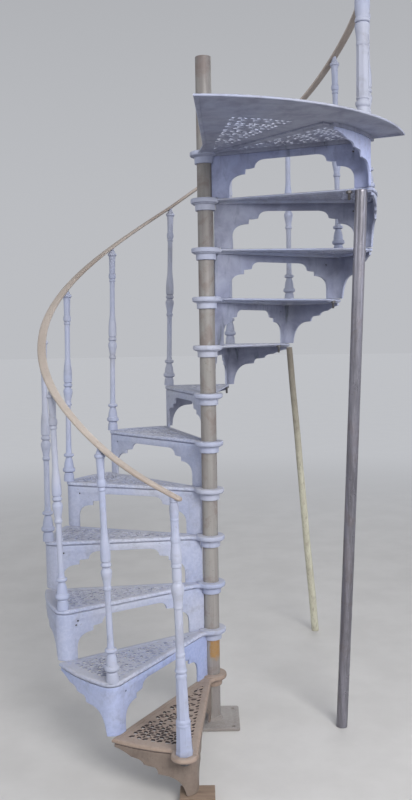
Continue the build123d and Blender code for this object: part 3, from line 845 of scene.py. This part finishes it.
def tread_geo(lobe_c, lobe_r, hole_wall_shade=1.0):
    path = tread_outline(lobe_c, lobe_r)
    g = sweep_closed(path, RIM, nose_wear(path), back_depth)
    loops = [inset(path, 22.5), arc((0, 0), 37.5, 360, 360 * 1 / 40, 39)]
    holes, rings = pierce(0.0, -TURN, 27.0, 25.0, 694.0)
    g.join(plate(loops + holes, -8.8 if hole_wall_shade > 0.5 else -7.0, -1.3, 0.6, hole_wall_shade=hole_wall_shade))
    g.join(ring_geo(rings, -1.3))
    g.join(lathe_ring(HUB, 56))
    return g


# painted shade on the hole walls: full on the first tread, less on the others, least on the upper ones
std_tread = tread_geo(CORNER, CORNER_R + 0.25, 0.3)
high_tread = tread_geo(CORNER, CORNER_R + 0.25, 0.25)
for k in range(2, N):
    make_object("tread_casting_%02d" % k, std_tread if k < 8 else high_tread, CAST, 34, ["tread_%02d" % k], place(k))
first_tread = tread_geo(polar(NEWEL_R, NEWEL_A - FIRST_A), NEWEL_LOBE)
make_object("tread_casting_01", first_tread, PRIMER, 34, ["tread_01"], place(1))

# ------------------------------------------------------------------
# Landing
# ------------------------------------------------------------------
LAND = [(797.8, -328.6), (721.1, -498.8), (670.0, -564.4), (596.0, -664.9), (512.7, -732.4), (451.5, -790.1), (323.8, -862.4),
        (220.2, -905.8), (152.7, -921.4), (70.1, -950.9), (-34.7, -957.3)]


def three_arc(p, q, r, n):
    """Arc through three points."""
    ax, ay, bx, by, cx, cy = *p, *q, *r
    d = 2 * (ax * (by - cy) + bx * (cy - ay) + cx * (ay - by))
    ux = ((ax * ax + ay * ay) * (by - cy) + (bx * bx + by * by) * (cy - ay) + (cx * cx + cy * cy) * (ay - by)) / d
    uy = ((ax * ax + ay * ay) * (cx - bx) + (bx * bx + by * by) * (ax - cx) + (cx * cx + cy * cy) * (bx - ax)) / d
    rr = math.hypot(ax - ux, ay - uy)
    a0 = math.degrees(math.atan2(ay - uy, ax - ux))
    a1 = math.degrees(math.atan2(cy - uy, cx - ux))
    am = math.degrees(math.atan2(by - uy, bx - ux))
    while am < a0:
        am += 360
    while a1 < a0:
        a1 += 360
    if am > a1:
        a1 -= 360
    return arc((ux, uy), rr, a0, a1, n)


# painted shade: every point gets the value w, a negative value that the paint darkens
def give_painted_shade(g, w=-0.5):
    g.w = [w] * len(g.w)
    return g


def landing_geo():
    la = nose_dir(N)
    lp = [rot(p, -la) for p in LAND]
    c1 = (F1X, HUB_F)
    phi1 = math.degrees(math.atan2(c1[1], c1[0]))
    # round the hub, then along the plain left edge
    pts = arc((0, 0), LIP_R, phi1, 360 - 70.5 - 24, 44)
    left_dir = math.degrees(math.atan2(lp[-1][1], lp[-1][0]))
    # hollow curve from the lip into the left edge
    far = polar(200, left_dir)
    start = pts[-1]
    mid = polar(86, left_dir - 10)
    for i in range(1, 9):
        t = i / 8
        pts.append(((1 - t) ** 2 * start[0] + 2 * t * (1 - t) * mid[0] + t * t * far[0], (1 - t) ** 2 * start[1] + 2 * t * (1 - t) * mid[1] + t * t * far[1]))
    corner = lp[-1]
    pts += line(far, corner, 10)[1:]
    outer = three_arc(lp[-1], lp[5], lp[0], 46)
    pts += outer[1:]
    # right end comes back to the nosing line
    pts += line(outer[-1], (760, 0), 6)[1:]
    pts += line((760, 0), (F1X, 0), 16)[1:]
    pts += arc(c1, HUB_F, -90, -180 + phi1, 9)
    path = dedupe(pts, 0.4)
    # thin rounded edge, its faces given a little painted shade
    edge = [(16, 0), (4.4, 0), (2.3, -0.5), (0.8, -1.7), (0.1, -3.5), (0.1, -5.9), (0.8, -7.7), (2.3, -8.9), (4.4, -9.4), (16, -9.4)]
    g = sweep_closed(path, edge, lambda i, j, p: -0.2 if 1 <= j <= 8 else 0.0)
    first, rings1 = pierce(0.0, -TURN, 34.0, 22.0)
    second, rings2 = pierce(-37.5, -61.0, 12.0, 12.0, 664.0, border=False)
    # a little painted shade on the walls of the holes
    g.join(plate([inset(path, 12.0), arc((0, 0), 37.5, 360, 360 * 1 / 40, 39)] + first + second, -6.2, -1.0, 0.6, hole_wall_shade=0.15))
    g.join(ring_geo(rings1 + rings2, -1.0))
    # deep rim under the step: nosing, outer arc and a rib along its back, all given painted shade
    a_out = arc((0, 0), TREAD_R, -27.4, -0.9, 24)
    n_out = line((TREAD_R - 4, -3.5), (66, -3.5), 10)
    n_in = line((66, -22), (TREAD_R - 26, -22), 10)
    a_in = arc((0, 0), TREAD_R - 24, -2.2, -27.4, 24)
    g.join(give_painted_shade(plate([dedupe(a_out + n_out + n_in + a_in)], -20.0, -5.0, 0.8)))
    rib = [polar(80, -29.5), polar(TREAD_R - 20, -27.4), polar(TREAD_R - 20, -30.4), polar(80, -38)]
    g.join(give_painted_shade(plate([dedupe(rib[::-1])], -13.0, -5.0, 0.8)))
    g.join(lathe_ring(HUB, 56))
    return g


make_object("landing_casting", landing_geo(), CAST, 34, ["landing_12"], place(N))

# ------------------------------------------------------------------
# Brackets: riser panel with a scalloped arch, and the curved string
# ------------------------------------------------------------------
ARCH_MID = 388.0


def quarter(p, q, bulge, n=7):
    """Quadratic curve from p to q by way of bulge."""
    return [((1 - t) ** 2 * p[0] + 2 * t * (1 - t) * bulge[0] + t * t * q[0], (1 - t) ** 2 * p[1] + 2 * t * (1 - t) * bulge[1] + t * t * q[1]) for t in [i / n for i in range(n + 1)]]


ARCH_HALF = ([(272, 0), (272, 50)] + quarter((272, 50), (199, 107), (271, 106))[1:] + [(199.5, 112), (197, 127)] +
             quarter((197, 127), (157, 131), (178, 126), 4)[1:] + quarter((157, 131), (112, 163), (153, 162), 6)[1:])


def along(d):
    """Distance along the wall, from the riser's inner end, of a point d along the string from the outer corner."""
    a = -math.degrees((RISER_Y + d) / 730.0)
    return CORNER[0] + BEND + rad(CORNER_A - a) * STRING_R


def wrapped(u, z, depth):
    """Point of the wall: flat riser, rounded leg, then the string on its arc. depth is measured in from the outer face."""
    if u <= CORNER[0]:
        return (u, -RISER_Y - depth, z)
    if u <= CORNER[0] + BEND:
        p = polar(LEG_R - depth, 90.0 - math.degrees((u - CORNER[0]) / LEG_R))
        return (CORNER[0] + p[0], CORNER[1] + p[1], z)
    return (*polar(STRING_R - depth, CORNER_A - math.degrees((u - CORNER[0] - BEND) / STRING_R)), z)


def bracket_geo(foot, second_hole=False, step=True):
    left = [(ARCH_MID - x, (-foot if z == 0 else -RISE + z)) for x, z in ARCH_HALF]
    right = [(ARCH_MID + x, (-foot if z == 0 else -RISE + z)) for x, z in reversed(ARCH_HALF)]
    # one outline: up the inner end, round the arch, under the leg, up the string's scallops and back along the top
    # a step at the inner foot clears the lip that stands proud on the tread below
    inner = [(36.5, -foot + 5.3), (65.2, -foot + 5.3), (65.2, -foot)] if step else [(36.5, -foot)]
    total = math.radians(26.6) * 730.0 - RISER_Y
    under = ([(39, -foot)] + ([(39, -205)] if foot > 205 else []) +
             quarter((40, -min(foot - 1, 203)), (113, -107), (51, -116), 9) + quarter((113, -107), (148, -104), (131, -106), 2)[1:] +
             quarter((148, -104), (162, -80), (151, -84), 4)[1:] + quarter((162, -80), (207, -75), (186, -79), 3)[1:] +
             quarter((207, -75), (258, -55), (212, -56), 6)[1:] + quarter((258, -55), (total, -32), (300, -34), 7)[1:])
    end = along(total)
    outline = (inner + left + right + [(along(d), z) for d, z in under] + [(end, -20.4)] +
               [(48.5, -20.4), (45.5, -25.5), (44.8, -45.5), (42.0, -48.6), (36.5, -48.6)])
    loops = [dedupe(outline), arc_hole((655, -53), 4.6)]
    if second_hole:
        loops.append(arc_hole((663, -70), 4.6))
    flat = plate(loops, 0, 10.0, 1.1, 1)
    flat = cut_every(flat, 0, CORNER[0] - 7.0, CORNER[0] + BEND + 2, 7.0)
    flat = cut_every(flat, 0, CORNER[0] + BEND, end, 14.0)
    g = Geo()
    # outer face marked as rubbed wear, inner face given painted shade
    g.add([wrapped(x, y, z) for x, y, z in flat.v], flat.f, [0.5 if z < 1.2 else (-0.5 if z > 8.8 else 0.0) for x, y, z in flat.v])
    return g


def arc_hole(c, r, n=12):
    return [(c[0] + r * math.cos(-2 * math.pi * i / n), c[1] + r * math.sin(-2 * math.pi * i / n)) for i in range(n)]


std_bracket = bracket_geo(RISE)
third_bracket = bracket_geo(RISE, True)
last_bracket = bracket_geo(RISE - LAND_DROP)
first_bracket = bracket_geo(FIRST_Z - BLOCK_T, False, False)
for k in range(1, N + 1):
    src = {1: first_bracket, 3: third_bracket, N: last_bracket}.get(k, std_bracket)
    # the first bracket takes the primer with painted shade, the second and the top the copies with painted light
    make_object("bracket_casting_%02d" % k, src, PRIMER_PAINTED_SHADE_LEG if k == 1 else {2: CAST_PAINTED_BLUE_LIGHT, N: CAST_PAINTED_VIOLET_LIGHT}.get(k, CAST), 34, ["bracket_%02d" % k],
                place(k))

# ------------------------------------------------------------------
# Balusters and newels
# ------------------------------------------------------------------
LEAN = {1: (-23, 0), 2: (-26, 0), 3: (-20, 0), 4: (-6, 0), 5: (6, 0), 6: (14, 0), 7: (22, 0), 8: (6, 0), 9: (0, 0), 10: (-12, 0), 11: (-4, 0), 12: (-4, 0)}


FOOT_SHIFT = {2: (5, 7), 3: (6, 7), 4: (-4, 6), 5: (-3, 3)}


def bal_base(k, r=BAL_R, shifted=True):
    if k == 1:
        return Vector((*polar(NEWEL_R, NEWEL_A), top_z(1)))
    if k == N:
        return Vector((*END_AT, top_z(N)))
    c, s = math.cos(rad(nose_dir(k))), math.sin(rad(nose_dir(k)))
    dx, dy = FOOT_SHIFT.get(k, (0, 0)) if shifted else (0, 0)
    return Vector((r * c + BAL_IN * s + dx, r * s - BAL_IN * c + dy, top_z(k)))


def bal_top(k):
    return bal_base(k, HEAD_R, False) + Vector((LEAN[k][0], LEAN[k][1], NEWEL_H if k == 1 else BAL_H))


BAL = [(0, 0), (24.4, 0, 1), (24.4, 4), (24.0, 16), (23.2, 28), (22.0, 35, 1), (19.5, 37), (19.0, 40), (21, 43, 1), (27.5, 46), (29.6, 51), (29.6, 57),
       (27.5, 63), (23, 67, 1), (22.4, 70), (22.2, 76), (21.2, 86), (18.6, 98), (16.2, 106), (14.2, 112), (13.8, 116, 1), (20.5, 118), (23.4, 121), (23.6, 126),
       (23.0, 130), (19.0, 133, 1), (14.2, 135), (13.2, 142), (12.6, 170), (12.2, 240), (12.0, 330), (12.2, 352), (12.8, 360, 1), (15.6, 362), (16.8, 366),
       (16.8, 371), (15.4, 375, 1), (13.6, 377), (14.2, 386), (16.2, 398), (19.4, 413), (21.6, 426), (21.8, 433), (19.6, 441), (15.2, 447, 1), (14.6, 450),
       (17.6, 453, 1), (20.2, 456), (20.6, 460), (19.6, 465), (16.4, 468, 1), (16.0, 471), (18.6, 474, 1), (19.6, 478), (19.8, 500), (19.2, 525), (17.2, 548),
       (14.6, 566), (12.8, 584), (12.4, 600), (12.2, 640), (12.2, 740), (12.4, 745, 1), (14.6, 746.5), (15.4, 750), (14.8, 754, 1), (13.2, 756), (13.0, 759),
       (15.2, 761.5, 1), (17.2, 765), (17.6, 774), (17.0, 783), (15.0, 788, 1), (13.8, 790), (14.2, 800), (14.8, 830), (15.4, 856), (16.4, 869), (18.6, 873, 1),
       (21.4, 875), (22.0, 880), (21.4, 885), (18.0, 888, 1), (14.0, 889), (14.4, 893), (13.6, 898), (10.0, 901, 1), (9.6, 904), (9.6, 916, 1), (0, 916)]

NEW = [(0, 0), (31.5, 0, 1), (32, 3), (31.8, 9), (30.2, 12, 1), (29.6, 20), (28.8, 40), (27.6, 70), (26.6, 100), (26.3, 108, 1), (27.6, 110.5), (27.6, 115),
       (26.6, 117, 1), (26.6, 121, 1), (27.4, 123), (27.2, 128), (25.0, 131, 1), (22.8, 134, 1), (22.4, 160), (21.4, 210), (20.2, 262), (19.6, 284, 1), (20.0, 289),
       (21.4, 292), (21.4, 300), (19.8, 304), (18.6, 308, 1), (21.0, 311), (23.0, 315), (22.8, 320), (20.4, 324, 1), (19.8, 328), (18.8, 345), (18.0, 362),
       (16.2, 366, 1), (17.4, 369), (18.2, 374), (18.0, 380), (16.0, 383, 1), (15.6, 390), (15.4, 440), (15.4, 478, 1), (15.4, 486, 1), (15.4, 541, 1), (15.4, 548, 1),
       (17.2, 551), (18.0, 556), (16.8, 561, 1), (17.2, 570), (19.0, 590), (21.6, 603), (23.4, 612), (23.8, 622), (23.0, 634), (20.0, 641), (16.8, 645, 1),
       (16.8, 655, 1), (18.4, 657), (18.0, 680), (17.4, 697), (17.0, 701, 1), (19.2, 703), (20.2, 708), (19.4, 714), (17.6, 717, 1), (19.4, 722), (20.8, 732),
       (20.6, 745), (19.0, 765), (17.2, 785), (16.4, 794, 1), (18.0, 796), (18.6, 803), (18.2, 811), (16.4, 817, 1), (15.2, 821, 1), (14.8, 828, 1), (14.8, 866, 1),
       (14.8, 872, 1), (15.0, 875, 1), (16.4, 877), (16.2, 881), (14.8, 884, 1), (15.4, 890), (16.8, 898), (17.4, 912), (17.0, 928), (15.2, 936), (13.8, 941, 1),
       (15.6, 944), (15.6, 948), (14.0, 951, 1), (15.4, 954), (15.0, 965, 1), (0, 965)]

END = [(0, 0), (24, 0, 1), (24, 20), (23.5, 60), (23.5, 110, 1), (25.0, 113), (27.4, 117), (28.8, 121), (29.4, 124), (29.4, 131), (27.6, 134, 1), (23.6, 136, 1),
       (23.6, 141, 1), (25.2, 143), (26.4, 147), (25.4, 151), (24.0, 153, 1), (24.6, 158, 1), (24.4, 220), (23.6, 300), (23.4, 350, 1), (24.8, 353), (25.6, 358),
       (25.0, 363, 1), (24.0, 366), (24.6, 376), (25.8, 392), (27.6, 406), (29.6, 418), (30.4, 428), (29.8, 434, 1), (24.4, 436), (24.0, 439, 1), (28.4, 441),
       (30.4, 446), (30.4, 452), (28.6, 457, 1), (25.4, 459), (26.0, 465), (28.6, 478), (30.2, 492), (30.6, 508), (30.0, 528), (27.6, 548), (23.4, 566),
       (20.0, 580), (18.4, 588, 1), (22.4, 591), (25.0, 597), (25.6, 604), (24.4, 611), (21.4, 616, 1), (19.2, 620), (18.2, 640), (17.4, 690), (17.0, 738, 1),
       (20.4, 742), (21.8, 749), (21.2, 756), (18.4, 761, 1), (17.6, 766), (17.2, 800), (17.6, 836, 1), (20.4, 842), (23.6, 850), (24.4, 859), (23.2, 867),
       (19.4, 874, 1), (17.4, 878), (17.0, 886), (16.6, 900), (16.2, 916, 1), (0, 916)]


def facets(z, a, bands, flutes=()):
    """Eight flats between the heights of each band, and shallow upright flutes between those of each flute pair."""
    for z0, z1 in bands:
        if z0 <= z <= z1:
            t = (math.degrees(a) + 22.5) % 45 - 22.5
            return 0.965 / math.cos(rad(t))
    for z0, z1 in flutes:
        if z0 < z < z1:
            return 0.97 + 0.05 * math.cos(8 * a)
    return 1.0


def stand(k, height):
    b, t = bal_base(k), bal_top(k)
    d = Vector((t.x - b.x, t.y - b.y, height))
    q = Vector((0, 0, 1)).rotation_difference(d)
    return Matrix.Translation(b) @ q.to_matrix().to_4x4() @ Matrix.Rotation(rad(nose_dir(k)), 4, "Z")


bal = lathe(smooth_profile(BAL, 3), 28)
for k in range(2, N):
    make_object("baluster_turned_%02d" % k, bal, CAST, 30, ["baluster_%02d" % k], stand(k, BAL_H))
newel = lathe(smooth_profile(NEW, 3), 64, lambda z, a: facets(z, a, ((0, 107.5), (134, 284)), ((484, 543), (826, 868))))
make_object("newel_turned_01", newel, CAST, 24, ["newel_01"], stand(1, NEWEL_H))
end = lathe(smooth_profile(END, 3), 64, lambda z, a: facets(z, a, ((158, 350),), ()))
make_object("newel_turned_12", end, CAST, 24, ["newel_12"], stand(12, BAL_H))

# ------------------------------------------------------------------
# Handrail
# ------------------------------------------------------------------


def rail_point(t):
    k0 = max(1, min(N - 1, int(math.floor(t))))
    f = t - k0

    def pol(k):
        p = bal_top(k)
        return math.hypot(p.x, p.y), p.z
    pr = [pol(max(1, min(N, k))) for k in (k0 - 1, k0, k0 + 1, k0 + 2)]

    def cr(a, b, c, d):
        return 0.5 * (2 * b + (c - a) * f + (2 * a - 5 * b + 4 * c - d) * f * f + (3 * b - a - 3 * c + d) * f ** 3)
    zs = [p[1] for p in pr]
    if k0 == 1:
        zs[0] = 2 * zs[1] - zs[2]
    if k0 == N - 1:
        zs[3] = 2 * zs[2] - zs[1]
    r, z = cr(*[p[0] for p in pr]), cr(*zs)
    angs = []
    for k in (k0, k0 + 1):
        p = bal_top(k)
        a = math.degrees(math.atan2(p.y, p.x))
        ref = nose_dir(k) - 2.2
        while a - ref > 180:
            a -= 360
        while a - ref < -180:
            a += 360
        angs.append(a)
    a = angs[0] + (angs[1] - angs[0]) * f
    return Vector((*polar(r, a), z + RAIL_T / 2 / math.cos(rad(32.7))))


STEPS = 16
path = [rail_point(1 + i / STEPS) for i in range((N - 1) * STEPS + 1)]
d0 = (path[0] - path[1]).normalized()
d1 = (path[-1] - path[-2]).normalized()
path = [path[0] + d0 * 23, path[0] + d0 * 12] + path + [path[-1] + d1 * 10, path[-1] + d1 * 19]


def oval(w, t, n=24):
    out = []
    for i in range(n):
        c, s = math.cos(2 * math.pi * i / n), math.sin(2 * math.pi * i / n)
        out.append((w / 2 * math.copysign(abs(c) ** 0.72, c), t / 2 * math.copysign(abs(s) ** 0.72, s)))
    return out


rail = tube_path(path, oval(RAIL_W - 0.6, RAIL_T - 0.4))
make_object("handrail_bar", rail, RAIL, 40, ["handrail"])

# ------------------------------------------------------------------
# Column and base plate
# ------------------------------------------------------------------
col_prof = [(30.2, COL_TOP - 0.4), (31.2, COL_TOP), (33.8, COL_TOP), (34.8, COL_TOP - 1.0)]
zs = [COL_TOP - 1.0 - i * (COL_TOP - 13.0) / 60 for i in range(1, 60)]
col_prof += [(34.8, z) for z in zs] + [(34.8, 12.2), (30.2, 12.2)] + [(30.2, z) for z in reversed(zs[::6])]
g = lathe_ring(col_prof, 64)
# a drawn tube is never dead round or dead straight
g.v = [(x + 0.5 * mnoise.noise(Vector((x * 0.02, y * 0.02, z * 0.004))), y + 0.5 * mnoise.noise(Vector((y * 0.02 + 7, x * 0.02, z * 0.004))), z) for x, y, z in g.v]
make_object("centre_tube", g, COLUMN, 40, ["centre_column"])


def rounded_rect(w, d, r, n=5):
    pts = []
    for cx, cy, a in ((w / 2 - r, d / 2 - r, 0), (-w / 2 + r, d / 2 - r, 90), (-w / 2 + r, -d / 2 + r, 180), (w / 2 - r, -d / 2 + r, 270)):
        pts += arc((cx, cy), r, a, a + 90, n)
    return dedupe(pts)


g = plate([rounded_rect(240, 240, 12)] + [arc_hole((sx * 92, sy * 92), 8) for sx in (-1, 1) for sy in (-1, 1)], 0.0, 12.0, 1.4, 1)
weld = [(35.2, 12.0), (46.0, 12.0), (44.6, 13.6), (42.4, 15.8), (41.8, 17.4), (41.8, 26.4), (40.8, 27.8), (35.2, 27.9)]
wg = lathe_ring(weld, 72)
# the weld bead is slightly uneven
wg.v = [(x * (1 + 0.012 * math.sin(z * 3 + math.atan2(y, x) * 23) * (1 if z < 17 else 0)), y * (1 + 0.012 * math.sin(z * 3 + math.atan2(y, x) * 23) * (1 if z < 17 else 0)), z) for x, y, z in wg.v]
g.join(wg)
make_object("base_plate", g, PLATE, 36, ["column_base"])

# ------------------------------------------------------------------
# Supports
# ------------------------------------------------------------------
foot = Vector((577, -82, 0))
head = Vector((635, -266, top_z(11) - 9.0))
L = (head - foot).length
ax = (head - foot).normalized()
prof = [(21.2, 1.5), (21.8, 0.4), (24.0, 0.4), (24.8, 1.6)] + [(24.8, 8 + (L - 16) * i / 40) for i in range(41)] + [(24.8, L - 1.6), (24.0, L - 0.3), (21.8, L - 0.3), (21.2, L - 1.5)]
g = lathe_ring(prof, 44)
q = Vector((0, 0, 1)).rotation_difference(ax).to_matrix()
v = []
for x, y, z in g.v:
    p = q @ Vector((x, y, z)) + foot
    bend = 3.0 * math.sin(math.pi * z / L)
    p += Vector((bend, 0, 0))
    # the tube is cut level at the floor and under the tread
    if z < 4:
        p.z = max(0.3, p.z) if z > 1.0 else 0.3
    if z > L - 4:
        p.z = min(top_z(11) - 9.2, p.z + 2.0)
    v.append(tuple(p))
g.v = v
make_object("post_tube", g, POST, 40, ["support_post"])

pf, ph = Vector((614, 1170, 0)), Vector((414, 560, top_z(8) - 20.0))
L = (ph - pf).length
q = Vector((0, 0, 1)).rotation_difference((ph - pf).normalized()).to_matrix()
prof = [(0, 0), (20.6, 0, 1), (21.2, 3)] + [(21.2 - 6.4 * i / 48, 6 + (L - 12) * i / 48) for i in range(49)] + [(14.6, L - 2), (14.0, L, 1), (0, L)]
g = lathe([(p[0], p[1]) for p in prof], 26)
v = []
for x, y, z in g.v:
    n1 = mnoise.noise(Vector((x * 0.045, y * 0.045, z * 0.006)))
    n2 = mnoise.noise(Vector((z * 0.0025, 3.3, 0)))
    s = 1 + 0.055 * n1 - (0.02 if z in (0, L) else 0)
    p = q @ Vector((x * s + 3.0 * n2, y * s + 3.0 * math.sin(z * 0.003), z)) + pf
    if z < 8:
        p.z = max(0.2, p.z) if z > 0 else 0.2
    if z > L - 8:
        p.z = min(p.z, top_z(8) - 20.2)
    v.append(tuple(p))
g.v = v
make_object("prop_pole", g, PROP, 45, ["rear_prop"])


def rough_block(w, d, h, cx, cy, seed):
    """Sawn packer: chamfered edges, slightly out of square, with a rough end grain."""
    bm = bmesh.new()
    bmesh.ops.create_cube(bm, size=1.0)
    bmesh.ops.scale(bm, vec=(w, d, h), verts=bm.verts)
    bmesh.ops.bevel(bm, geom=list(bm.edges), offset=2.2, segments=2, affect="EDGES", profile=0.6)
    bmesh.ops.subdivide_edges(bm, edges=[e for e in bm.edges if e.calc_length() > 20], cuts=7, use_grid_fill=True)
    g = Geo()
    for i, p in enumerate(bm.verts):
        p.index = i
        c = p.co
        n = mnoise.noise(Vector((c.x * 0.03 + seed, c.y * 0.06, c.z * 0.08)))
        side = 0.8 * n
        if abs(c.z) < h / 2 - 0.5:
            c.x += side
            c.y += side * (1 if c.y > 0 else -1)
    g.add([(p.co.x + cx, p.co.y + cy, p.co.z + h / 2) for p in bm.verts], [tuple(p.index for p in f.verts) for f in bm.faces])
    bm.free()
    return g


make_object("packer_block", rough_block(133, 99, BLOCK_T, -63, -697, 2.0), BLOCK, 40, ["foot_block"])

# ------------------------------------------------------------------
# Nut under the newel and bolts under the back corners
# ------------------------------------------------------------------


def hex_nut(c, across, z_top, h, hole_r, turn=0.0):
    """Six-sided nut with chamfered corners."""
    v, f = [], []
    prof = [(0.90, 0.0), (1.0, -0.14 * h), (1.0, -0.86 * h), (0.90, -h)]
    seg = 36
    rows = []
    for k, z in prof:
        row = []
        for i in range(seg):
            a = 360.0 * i / seg
            t = (a + 30) % 60 - 30
            r_hex = across / 2 / math.cos(rad(t))
            r = min(r_hex, across / 2 * 1.155 * (k if k < 1 else 1.0))
            row.append(len(v))
            v.append((c[0] + r * math.cos(rad(a + turn)), c[1] + r * math.sin(rad(a + turn)), z_top + z))
        rows.append(row)
    inner = []
    for z in (0.0, -h):
        row = []
        for i in range(seg):
            a = 360.0 * i / seg
            row.append(len(v))
            v.append((c[0] + hole_r * math.cos(rad(a + turn)), c[1] + hole_r * math.sin(rad(a + turn)), z_top + z))
        inner.append(row)
    loop = [inner[0]] + rows + [inner[1]]
    for p, q in zip(loop, loop[1:] + [loop[0]]):
        for i in range(seg):
            j = (i + 1) % seg
            f.append((p[i], p[j], q[j], q[i]))
    return Geo().add(v, f)


def thread(c, r, z0, z1, pitch=1.75):
    """Bolt end with ridges."""
    prof = [(0, z0), (r - 1.2, z0)]
    z = z0 + 0.8
    while z < z1:
        prof += [(r, z), (r - 0.7, z + pitch / 2)]
        z += pitch
    prof += [(r - 0.7, z1), (0, z1)]
    g = lathe(prof, 18)
    g.v = [(x + c[0], y + c[1], zz) for x, y, zz in g.v]
    return g


nz = top_z(1) - 20.0
nx = polar(NEWEL_R, NEWEL_A)
g = hex_nut(nx, 35.5, nz, 19.8, 9.6, 12)
g.join(thread(nx, 9.4, nz - 20.0, nz - 0.2))
make_object("newel_fixing_nut", g, BOLT, 30, ["newel_nut"])

g = Geo()
for k in range(1, N):
    a = nose_dir(k + 1)
    r0 = 638.0 if k in (8, 11) else 700.0
    c, s = math.cos(rad(a)), math.sin(rad(a))
    p = (r0 * c + 8 * s, r0 * s - 8 * c)
    z = top_z(k) - 8.0
    g.join(hex_nut(p, 22.3, z - 0.1, 11.6, 6.0, random.uniform(0, 60)))
    g.join(thread(p, 5.9, z - 37.8, z - 0.2))
make_object("corner_fixings", g, BOLT, 30, ["corner_bolts"])

# bolt ends seated in the holes of the risers' outer legs, near-black so that they also stand in for the shade in the
# holes
g = Geo()
for k in range(1, N + 1):
    for x, z in [(655.0, -53.0)] + ([(663.0, -70.0)] if k == 3 else []):
        end_prof = [(0, 0), (3.0, 0, 1), (3.6, 0.5), (3.6, 5.5, 1), (0, 5.5)]
        one = lathe([(q[0], q[1]) for q in end_prof], 12)
        one.v = [(x + a, -RISER_Y - 8.4 + c, z + b) for a, b, c in one.v]
        g.join(one, place(k))
make_object("riser_fixings", g, BOLT_PAINTED_SHADE, 30, ())

# ------------------------------------------------------------------
# Floor, light, camera
# ------------------------------------------------------------------
bm = bmesh.new()
bmesh.ops.create_circle(bm, cap_ends=True, radius=60.0, segments=96)
me = bpy.data.meshes.new("floor")
bm.to_mesh(me)
bm.free()
floor = bpy.data.objects.new("floor", me)
bpy.context.scene.collection.objects.link(floor)
floor.location.z = -0.0005
fm = Nodes("floor_pale")
fine = fm.noise(3.0, 5.0, 0.6)
fx, fy, fz = fm.pos()
away = fm.ramp(fm.math("POWER", fm.math("ADD", fm.math("MULTIPLY", fx, fx), fm.math("MULTIPLY", fy, fy)), 0.5), 2.2, 9.0)
pale = fm.mix(fm.ramp(fine, 0.3, 0.7), (0.60, 0.59, 0.58), (0.65, 0.64, 0.63))
fm.finish(fm.mix(away, pale, (0.0, 0.0, 0.0)), fm.ramp(fine, 0.3, 0.7, 0.75, 0.85), 0.0, 0.1)
# far out the floor fades into the backdrop
SKY = (0.93, 0.95, 1.0)
LOW, HIGH = 0.54, 0.32
fm.link(fm.mix(away, (0.0, 0.0, 0.0), tuple(x * LOW for x in SKY)), fm.p.inputs["Emission Color"])
fm.p.inputs["Emission Strength"].default_value = 1.0
me.materials.append(fm.mat)

world = bpy.data.worlds.new("studio")
bpy.context.scene.world = world
world.use_nodes = True
wt = world.node_tree
bg = wt.nodes["Background"]
bg.inputs[0].default_value = (*SKY, 1)
wc = wt.nodes.new("ShaderNodeTexCoord")
ws = wt.nodes.new("ShaderNodeSeparateXYZ")
wr = wt.nodes.new("ShaderNodeMapRange")
wr.interpolation_type = "SMOOTHSTEP"
wr.inputs["From Min"].default_value = 0.05
wr.inputs["From Max"].default_value = 0.85
wr.inputs["To Min"].default_value = LOW
wr.inputs["To Max"].default_value = HIGH
wt.links.new(wc.outputs["Generated"], ws.inputs[0])
wt.links.new(ws.outputs[2], wr.inputs["Value"])
wt.links.new(wr.outputs["Result"], bg.inputs[1])
bpy.context.scene.view_settings.view_transform = "Standard"


def area(name, loc, target, size, power, color):
    d = bpy.data.lights.new(name, "AREA")
    d.shape = "RECTANGLE"
    d.size, d.size_y = size
    d.energy = power
    d.color = color
    o = bpy.data.objects.new(name, d)
    bpy.context.scene.collection.objects.link(o)
    o.location = loc
    o.rotation_mode = "QUATERNION"
    o.rotation_quaternion = (Vector(target) - Vector(loc)).to_track_quat("-Z", "Y")
    return o


key = area("key", (1.7, -5.0, 3.8), (0, 0, 0.6), (2.6, 2.2), 72, (1.0, 0.985, 0.965))
key.data.spread = rad(90)
area("left_fill", (-4.8, -2.4, 3.2), (0, 0, 1.0), (3.0, 3.0), 42, (0.95, 0.97, 1.0))
area("right_fill", (5.0, -2.2, 3.0), (0.2, 0, 1.0), (2.5, 3.0), 48, (0.88, 0.91, 1.0))
area("back", (1.5, 5.5, 5.0), (0, 0, 1.6), (4.0, 3.0), 85, (0.95, 0.97, 1.0))

cam_d = bpy.data.cameras.new("camera")
cam = bpy.data.objects.new("camera", cam_d)
bpy.context.scene.collection.objects.link(cam)
cam_d.sensor_fit = "AUTO"
cam_d.sensor_width = 36.0
cam_d.lens = 866.3 / 800 * 36
pitch, roll, yaw = rad(4.52), rad(-0.89), rad(-0.15)
fw = Vector((math.sin(yaw) * math.cos(pitch), math.cos(yaw) * math.cos(pitch), -math.sin(pitch)))
rt = Vector((math.cos(yaw), -math.sin(yaw), 0))
up = rt.cross(fw)
rt2 = rt * math.cos(roll) + up * math.sin(roll)
up2 = up * math.cos(roll) - rt * math.sin(roll)
m = Matrix((rt2, up2, -fw)).transposed().to_4x4()
m.translation = Vector((0, -3.844, 1.774))
cam.matrix_world = m
bpy.context.scene.camera = cam
